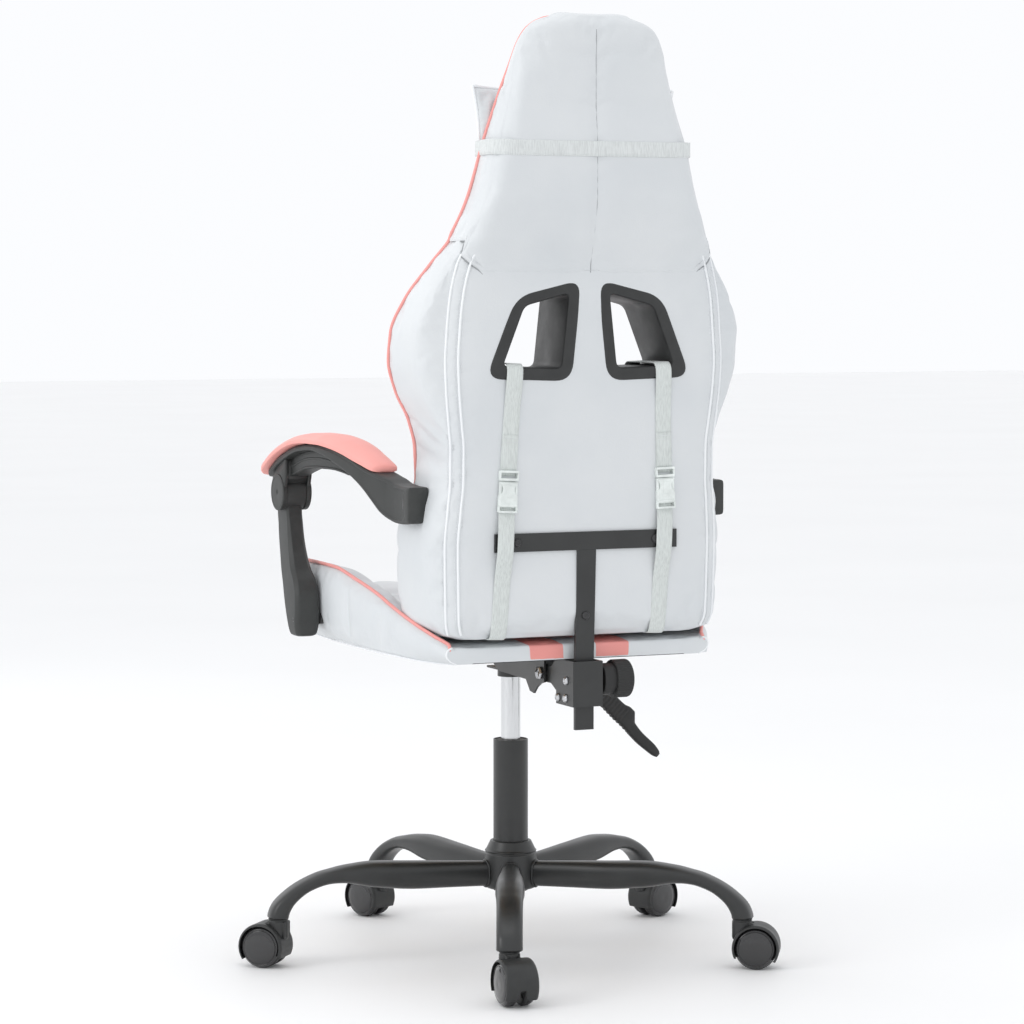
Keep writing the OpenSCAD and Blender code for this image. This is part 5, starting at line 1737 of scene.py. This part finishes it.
def make_casters():
    tread, face = wheel_profiles()
    hood = hood_parts()
    for number in range(1, LEG_COUNT + 1):
        place = caster_place(number)
        cover = joined(f"caster_{number}_hood",
                       [(placed(verts, place), faces, mat) for verts, faces, mat in hood], ["hood_plastic"])
        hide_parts(f"caster_hood_{number}")
        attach(cover, f"caster_{number}")
        parts = []
        for way in (1, -1):
            spin = axes_at((TRAIL, way * WHEEL_GAP / 2, WHEEL_R), (way, 0, 0), (0, 0, 1), (0, way, 0))
            for profile, mat in ((tread, 0), (face, 1)):
                verts, faces = lathe(profile, 80, spin)
                parts.append((placed(verts, place), faces, mat))
            # spokes on the inner face
            for k in range(8):
                turn = math.radians(45 * k)
                spoke = [[TRAIL + r * math.cos(turn), way * (WHEEL_GAP / 2 + 0.1),
                          WHEEL_R + r * math.sin(turn)] for r in (8, 16, 24)]
                verts, faces = tube(spoke, 0.8, 6)
                parts.append((placed(verts, place), faces, 0))
        wheels = joined(f"caster_{number}_wheels", parts, ["wheel_nylon", "gloss_nylon"])
        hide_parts(f"caster_wheels_{number}")
        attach(wheels, f"wheels_{number}")


make_base()
make_casters()


# ---------------------------------------------------------------- metal work kept to the CAD's shapes

SHARP_EDGE = math.radians(28)      # an edge that bends more than this is bevelled


def eased_copy(node, body, mat, bevel):
    """The CAD solid with its facets joined up and its edges eased by a bevel in mm."""
    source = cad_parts[node]
    mesh = source.data.copy()
    mesh.name = node + "_finish"
    if mesh.has_custom_normals:
        mesh.normals_split_custom_set([(0.0, 0.0, 0.0)] * len(mesh.loops))
    grid = bmesh.new()
    grid.from_mesh(mesh)
    bmesh.ops.remove_doubles(grid, verts=grid.verts, dist=0.02 * MM)
    bmesh.ops.dissolve_limit(grid, angle_limit=math.radians(1.2), verts=grid.verts, edges=grid.edges)
    sharp = [edge for edge in grid.edges
             if len(edge.link_faces) == 2 and edge.calc_face_angle(0.0) > SHARP_EDGE]
    bmesh.ops.bevel(grid, geom=sharp, offset=bevel * MM, segments=2, profile=0.6, affect="EDGES",
                    clamp_overlap=True)
    bmesh.ops.recalc_face_normals(grid, faces=grid.faces)
    grid.to_mesh(mesh)
    grid.free()
    mesh.materials.clear()
    mesh.materials.append(MATS[mat])
    for polygon in mesh.polygons:
        polygon.material_index = 0
    mesh.shade_smooth()
    mesh.set_sharp_from_angle(angle=math.radians(42))
    obj = bpy.data.objects.new(node + "_finish", mesh)
    bpy.context.scene.collection.objects.link(obj)
    weighted = obj.modifiers.new("normals", "WEIGHTED_NORMAL")
    weighted.keep_sharp = True
    weighted.weight = 80
    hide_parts(node)
    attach(obj, body)
    return obj


# node, body, material, slot and bevel in mm
METAL = [
    ("lift_tube", "base", "black_metal", "base_metal", 0.5),
    ("lift_bush", "base", "bush_plastic", "bush_plastic", 0.4),
    ("mech_plate", "seat", "black_metal", "frame_steel", 0.5),
    ("taper_socket", "seat", "black_metal", "frame_steel", 0.4),
    ("back_bracket", "backrest", "black_metal", "frame_steel", 0.7),
    ("back_bar", "backrest", "black_metal", "frame_steel", 0.8),
    ("back_crossbar", "backrest", "black_metal", "frame_steel", 0.8),
    ("arm_brackets", "seat", "black_metal", "frame_steel", 0.4),
]
for metal_node, metal_body, metal_mat, metal_slot, metal_bevel in METAL:
    eased_copy(metal_node, metal_body, metal_mat, metal_bevel)

# The headrest's tubes lean back under its cover: the lean starts at 1000 mm and is full 60 mm higher
FRAME_LEAN, FRAME_LEAN_FROM, FRAME_LEAN_OVER = 10 * MM, 1000 * MM, 60 * MM
frame_tubes = eased_copy("back_frame", "backrest", "black_metal", 0.5)
for tube_point in frame_tubes.data.vertices:
    above = (tube_point.co.z - FRAME_LEAN_FROM) / FRAME_LEAN_OVER
    tube_point.co.y += FRAME_LEAN * min(1.0, max(0.0, above))

# The CAD solids that stay as they are and only get a finish
NODE_FINISH = {
    "caster_stems": "zinc_steel", "piston_rod": "bright_steel", "thrust_bearing": "zinc_steel",
    "gas_cylinder": "bright_steel", "valve_pin": "zinc_steel", "lever_rod": "black_metal",
    "pivot_axle": "zinc_steel", "seat_bolts": "zinc_steel", "seat_board": "plywood",
    "post_pivot_bolts": "black_screw", "bracket_bolts": "zinc_steel", "back_bolts": "black_screw",
    "arm_rear_bolts": "black_screw", "knuckle_pin_left": "zinc_steel", "knuckle_pin_right": "zinc_steel",
}
for axle in range(1, LEG_COUNT + 1):
    NODE_FINISH[f"caster_axle_{axle}"] = "zinc_steel"
for finished_node, finish in NODE_FINISH.items():
    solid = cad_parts[finished_node]
    solid.data.materials.clear()
    solid.data.materials.append(MATS[finish])
    for polygon in solid.data.polygons:
        polygon.material_index = 0


# ---------------------------------------------------------------- knob, lever and screws

BRACKET_X = 22.4
KNOB_AT = (239.0, 421.5)


def make_knob():
    """Two-stage clamp knob on the right of the bracket; the big stage is finely fluted."""
    place = along_x(0, *KNOB_AT, -1)
    small = rounded_outline([(4.05, BRACKET_X + 0.3), (11.5, BRACKET_X + 0.3), (11.5, BRACKET_X + 4.8),
                             (21.0, BRACKET_X + 4.8), (22.0, BRACKET_X + 6.4), (22.0, 46), (4.05, 46)], 0.8)
    parts = [(*lathe(small, 96, place), 0)]
    flutes, points_per_flute = 44, 6
    count = flutes * points_per_flute
    angle = np.arange(count) * 2 * math.pi / count
    wave = 0.5 + 0.5 * np.cos(angle * flutes)
    levels = [(4.05, 45.4, 0), (21.5, 45.0, 0), (25.6, 45.4, 0.2), (26.5, 46.8, 1), (26.5, 67.0, 1),
              (25.8, 69.0, 0.5), (24.0, 70.0, 0), (15.0, 70.0, 0), (14.2, 69.4, 0), (13.4, 69.9, 0),
              (0.5, 70.0, 0)]
    rings = []
    for radius, height, fluted in levels:
        r = radius - 0.8 * fluted * wave
        rings.append(np.column_stack([r * np.cos(angle), r * np.sin(angle), np.full(count, height)]))
    verts, faces = skin(rings)
    parts.append((placed(verts, place), faces, 0))
    knob = joined("clamp_knob_moulding", parts, ["knob_plastic"])
    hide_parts("clamp_knob")
    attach(knob, "knob")


LEVER_BEND = np.array([-70.0, 15.0, 438.5])
GRIP_DIR = np.array([-0.70711, 0.0, -0.70711])
GRIP_UP = np.array([-0.70711, 0.0, 0.70711])

# distance from the bend, upper edge, lower edge, half thickness, all in mm
GRIP_ROWS = [
    (64, 6, -6, 4.5), (66, 9, -9, 7), (80, 12, -12, 8), (110, 13, -13, 8), (132, 14, -13, 8),
    (144, 17.5, -12.5, 8), (151, 17.6, -12, 8), (158, 12, -12, 7), (165, 6, -12, 6.2), (185, 4, -12, 6),
    (210, 5, -9.5, 6), (222, 3.6, -7.6, 5), (227, 1.5, -5.5, 3),
]


# distances from the bend, then the pitch, of the ribs on the flat sides and of the teeth underneath
RIBS_FROM, RIBS_TO, RIB_PITCH = 84, 146, 6.2
TEETH_FROM, TEETH_TO, TEETH_PITCH = 78, 168, 7.0


def wave_between(s, low, high, pitch):
    """A wave from 0 to 1 with that pitch between the two distances, and 0 outside them."""
    if not low < s < high:
        return 0.0
    return 0.5 + 0.5 * math.cos((s - low) * 2 * math.pi / pitch)


def make_lever_grip():
    """The paddle, swept along the lever's end with ribbed sides and a toothed lower edge."""
    table = smooth_table(GRIP_ROWS)
    where = np.linspace(GRIP_ROWS[0][0], GRIP_ROWS[-1][0], 150)
    rings = []
    for s, (upper, lower, thick) in zip(where, table(where)):
        half = (upper - lower) / 2
        shape = superellipse(half, thick, 0.55, 56)
        share = shape[:, 0] / half
        underneath = share < -0.8
        on_flat = np.abs(share) < 0.72
        sunk = 0.4 if RIBS_FROM < s < RIBS_TO else 0.0
        ribs = on_flat * (0.7 * wave_between(s, RIBS_FROM, RIBS_TO, RIB_PITCH) - sunk)
        teeth = underneath * (1.1 * wave_between(s, TEETH_FROM, TEETH_TO, TEETH_PITCH) - 0.5)
        height = (upper + lower) / 2 + shape[:, 0] + teeth
        across = shape[:, 1] + np.sign(shape[:, 1]) * ribs
        rings.append(LEVER_BEND + GRIP_DIR * s + GRIP_UP * height[:, None]
                     + np.array([0.0, 1.0, 0.0]) * across[:, None])
    grip = joined("lever_paddle", [(*skin(rings), 0)], ["knob_plastic"])
    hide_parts("lever_grip")
    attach(grip, "height_lever")


def screw_head(place, radius, height, socket):
    """Button head with a hexagon socket."""
    angle = np.arange(48) * 2 * math.pi / 48
    hexagon = socket / np.maximum(np.abs(np.cos((angle % (math.pi / 3)) - math.pi / 6)), 0.5)
    levels = [(radius * 0.98, -0.4), (radius * 0.98, 0), (radius, 0.3), (radius * 0.93, height * 0.5),
              (radius * 0.72, height * 0.86), (socket * 1.25, height), (hexagon, height - 0.05),
              (hexagon, height - 1.5)]
    rings = [np.column_stack([reach * np.cos(angle), reach * np.sin(angle), np.full(48, level)])
             for reach, level in levels]
    verts, faces = skin(rings)
    return placed(verts, place), faces


def facing_rear(x, y, z):
    return axes_at((x, y, z), (-1, 0, 0), (0, 0, 1), (0, 1, 0))


def make_screws():
    """The heads of the crossbar's and the bracket's screws, and the nuts of the recline axle."""
    parts = []
    for place in ((-104, 257.0, 615), (104, 257.0, 615), (0, 253.2, 512)):
        parts.append((*screw_head(facing_rear(*place), 5.8, 3.2, 2.1), 0))
    heads = joined("crossbar_screw_heads", parts, ["black_screw"])
    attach(heads, "backrest")
    parts = []
    for y, z in ((212, 396), (237, 397), KNOB_AT):
        parts.append((*screw_head(along_x(BRACKET_X + 0.2, y, z), 6.0, 3.6, 2.3), 0))
    heads = joined("bracket_bolt_heads", parts, ["zinc_steel"])
    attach(heads, "backrest")
    parts = []
    corner_angle = np.radians(60 * np.arange(6))
    hexagon = np.column_stack([np.cos(corner_angle), np.sin(corner_angle)]) * 8.2 / math.cos(math.radians(30))
    outline = rounded_outline(hexagon, 0.7)
    for way in (1, -1):
        matrix = along_x(way * 27.6, 164.0, 425.0, way)
        parts.append((*bands(outline, [(0, 0), (4.0, 0), (4.9, 1.2), (5.1, 2.4)], matrix), 0))
    nuts = joined("recline_axle_nuts", parts, ["zinc_steel"])
    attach(nuts, "seat")


make_knob()
make_lever_grip()
make_screws()


# ---------------------------------------------------------------- camera, light and floor

CAMERA_AT = Vector((1.956, 4.405, 0.956))
CAMERA_PAN = 23.966       # degrees from +Y towards +X
CAMERA_TILT = 3.766       # degrees below level
CAMERA_LENS = 118.3


def make_camera():
    camera = bpy.data.cameras.new("camera")
    camera.lens = CAMERA_LENS
    camera.sensor_width = 36
    camera.clip_end = 50
    obj = bpy.data.objects.new("camera", camera)
    obj.location = CAMERA_AT
    obj.rotation_euler = (math.radians(90 - CAMERA_TILT), 0, math.radians(180 - CAMERA_PAN))
    bpy.context.scene.collection.objects.link(obj)
    bpy.context.scene.camera = obj


def area_light(name, place, target, size, power, colour=(1.0, 1.0, 1.0)):
    light = bpy.data.lights.new(name, "AREA")
    light.shape = "DISK"
    light.size = size
    light.energy = power
    light.color = colour
    obj = bpy.data.objects.new(name, light)
    obj.location = place
    obj.rotation_euler = (Vector(target) - Vector(place)).to_track_quat("-Z", "Y").to_euler()
    bpy.context.scene.collection.objects.link(obj)


def make_lights():
    middle = (0.0, 0.1, 0.7)
    area_light("key", (3.8, 0.5, 2.2), middle, 1.8, 28)
    area_light("top", (0.6, 0.3, 3.6), middle, 2.4, 12)
    area_light("front", (1.2, -3.4, 1.8), middle, 2.4, 8)
    world = bpy.data.worlds.new("studio")
    world.use_nodes = True
    background = world.node_tree.nodes["Background"]
    background.inputs["Color"].default_value = (0.97, 0.98, 1.0, 1)
    background.inputs["Strength"].default_value = 1.0
    bpy.context.scene.world = world


def make_floor():
    mat, nodes, links, bsdf, place = new_material("floor", (0.88, 0.88, 0.88), 0.6)
    cloud = noise_of(nodes, links, place, 1.2, 3.0)
    links.new(ramp_of(nodes, links, cloud, [(0.3, (0.93, 0.93, 0.93)), (0.7, (0.95, 0.95, 0.95))]),
              bsdf.inputs["Base Color"])
    mesh = bpy.data.meshes.new("floor")
    reach = 30.0      # metres
    mesh.from_pydata([(-reach, -reach, 0), (reach, -reach, 0), (reach, reach, 0), (-reach, reach, 0)], [],
                     [(0, 1, 2, 3)])
    mesh.materials.append(mat)
    floor = bpy.data.objects.new("floor", mesh)
    bpy.context.scene.collection.objects.link(floor)


bpy.context.scene.view_settings.view_transform = "Standard"
make_camera()
make_lights()
make_floor()
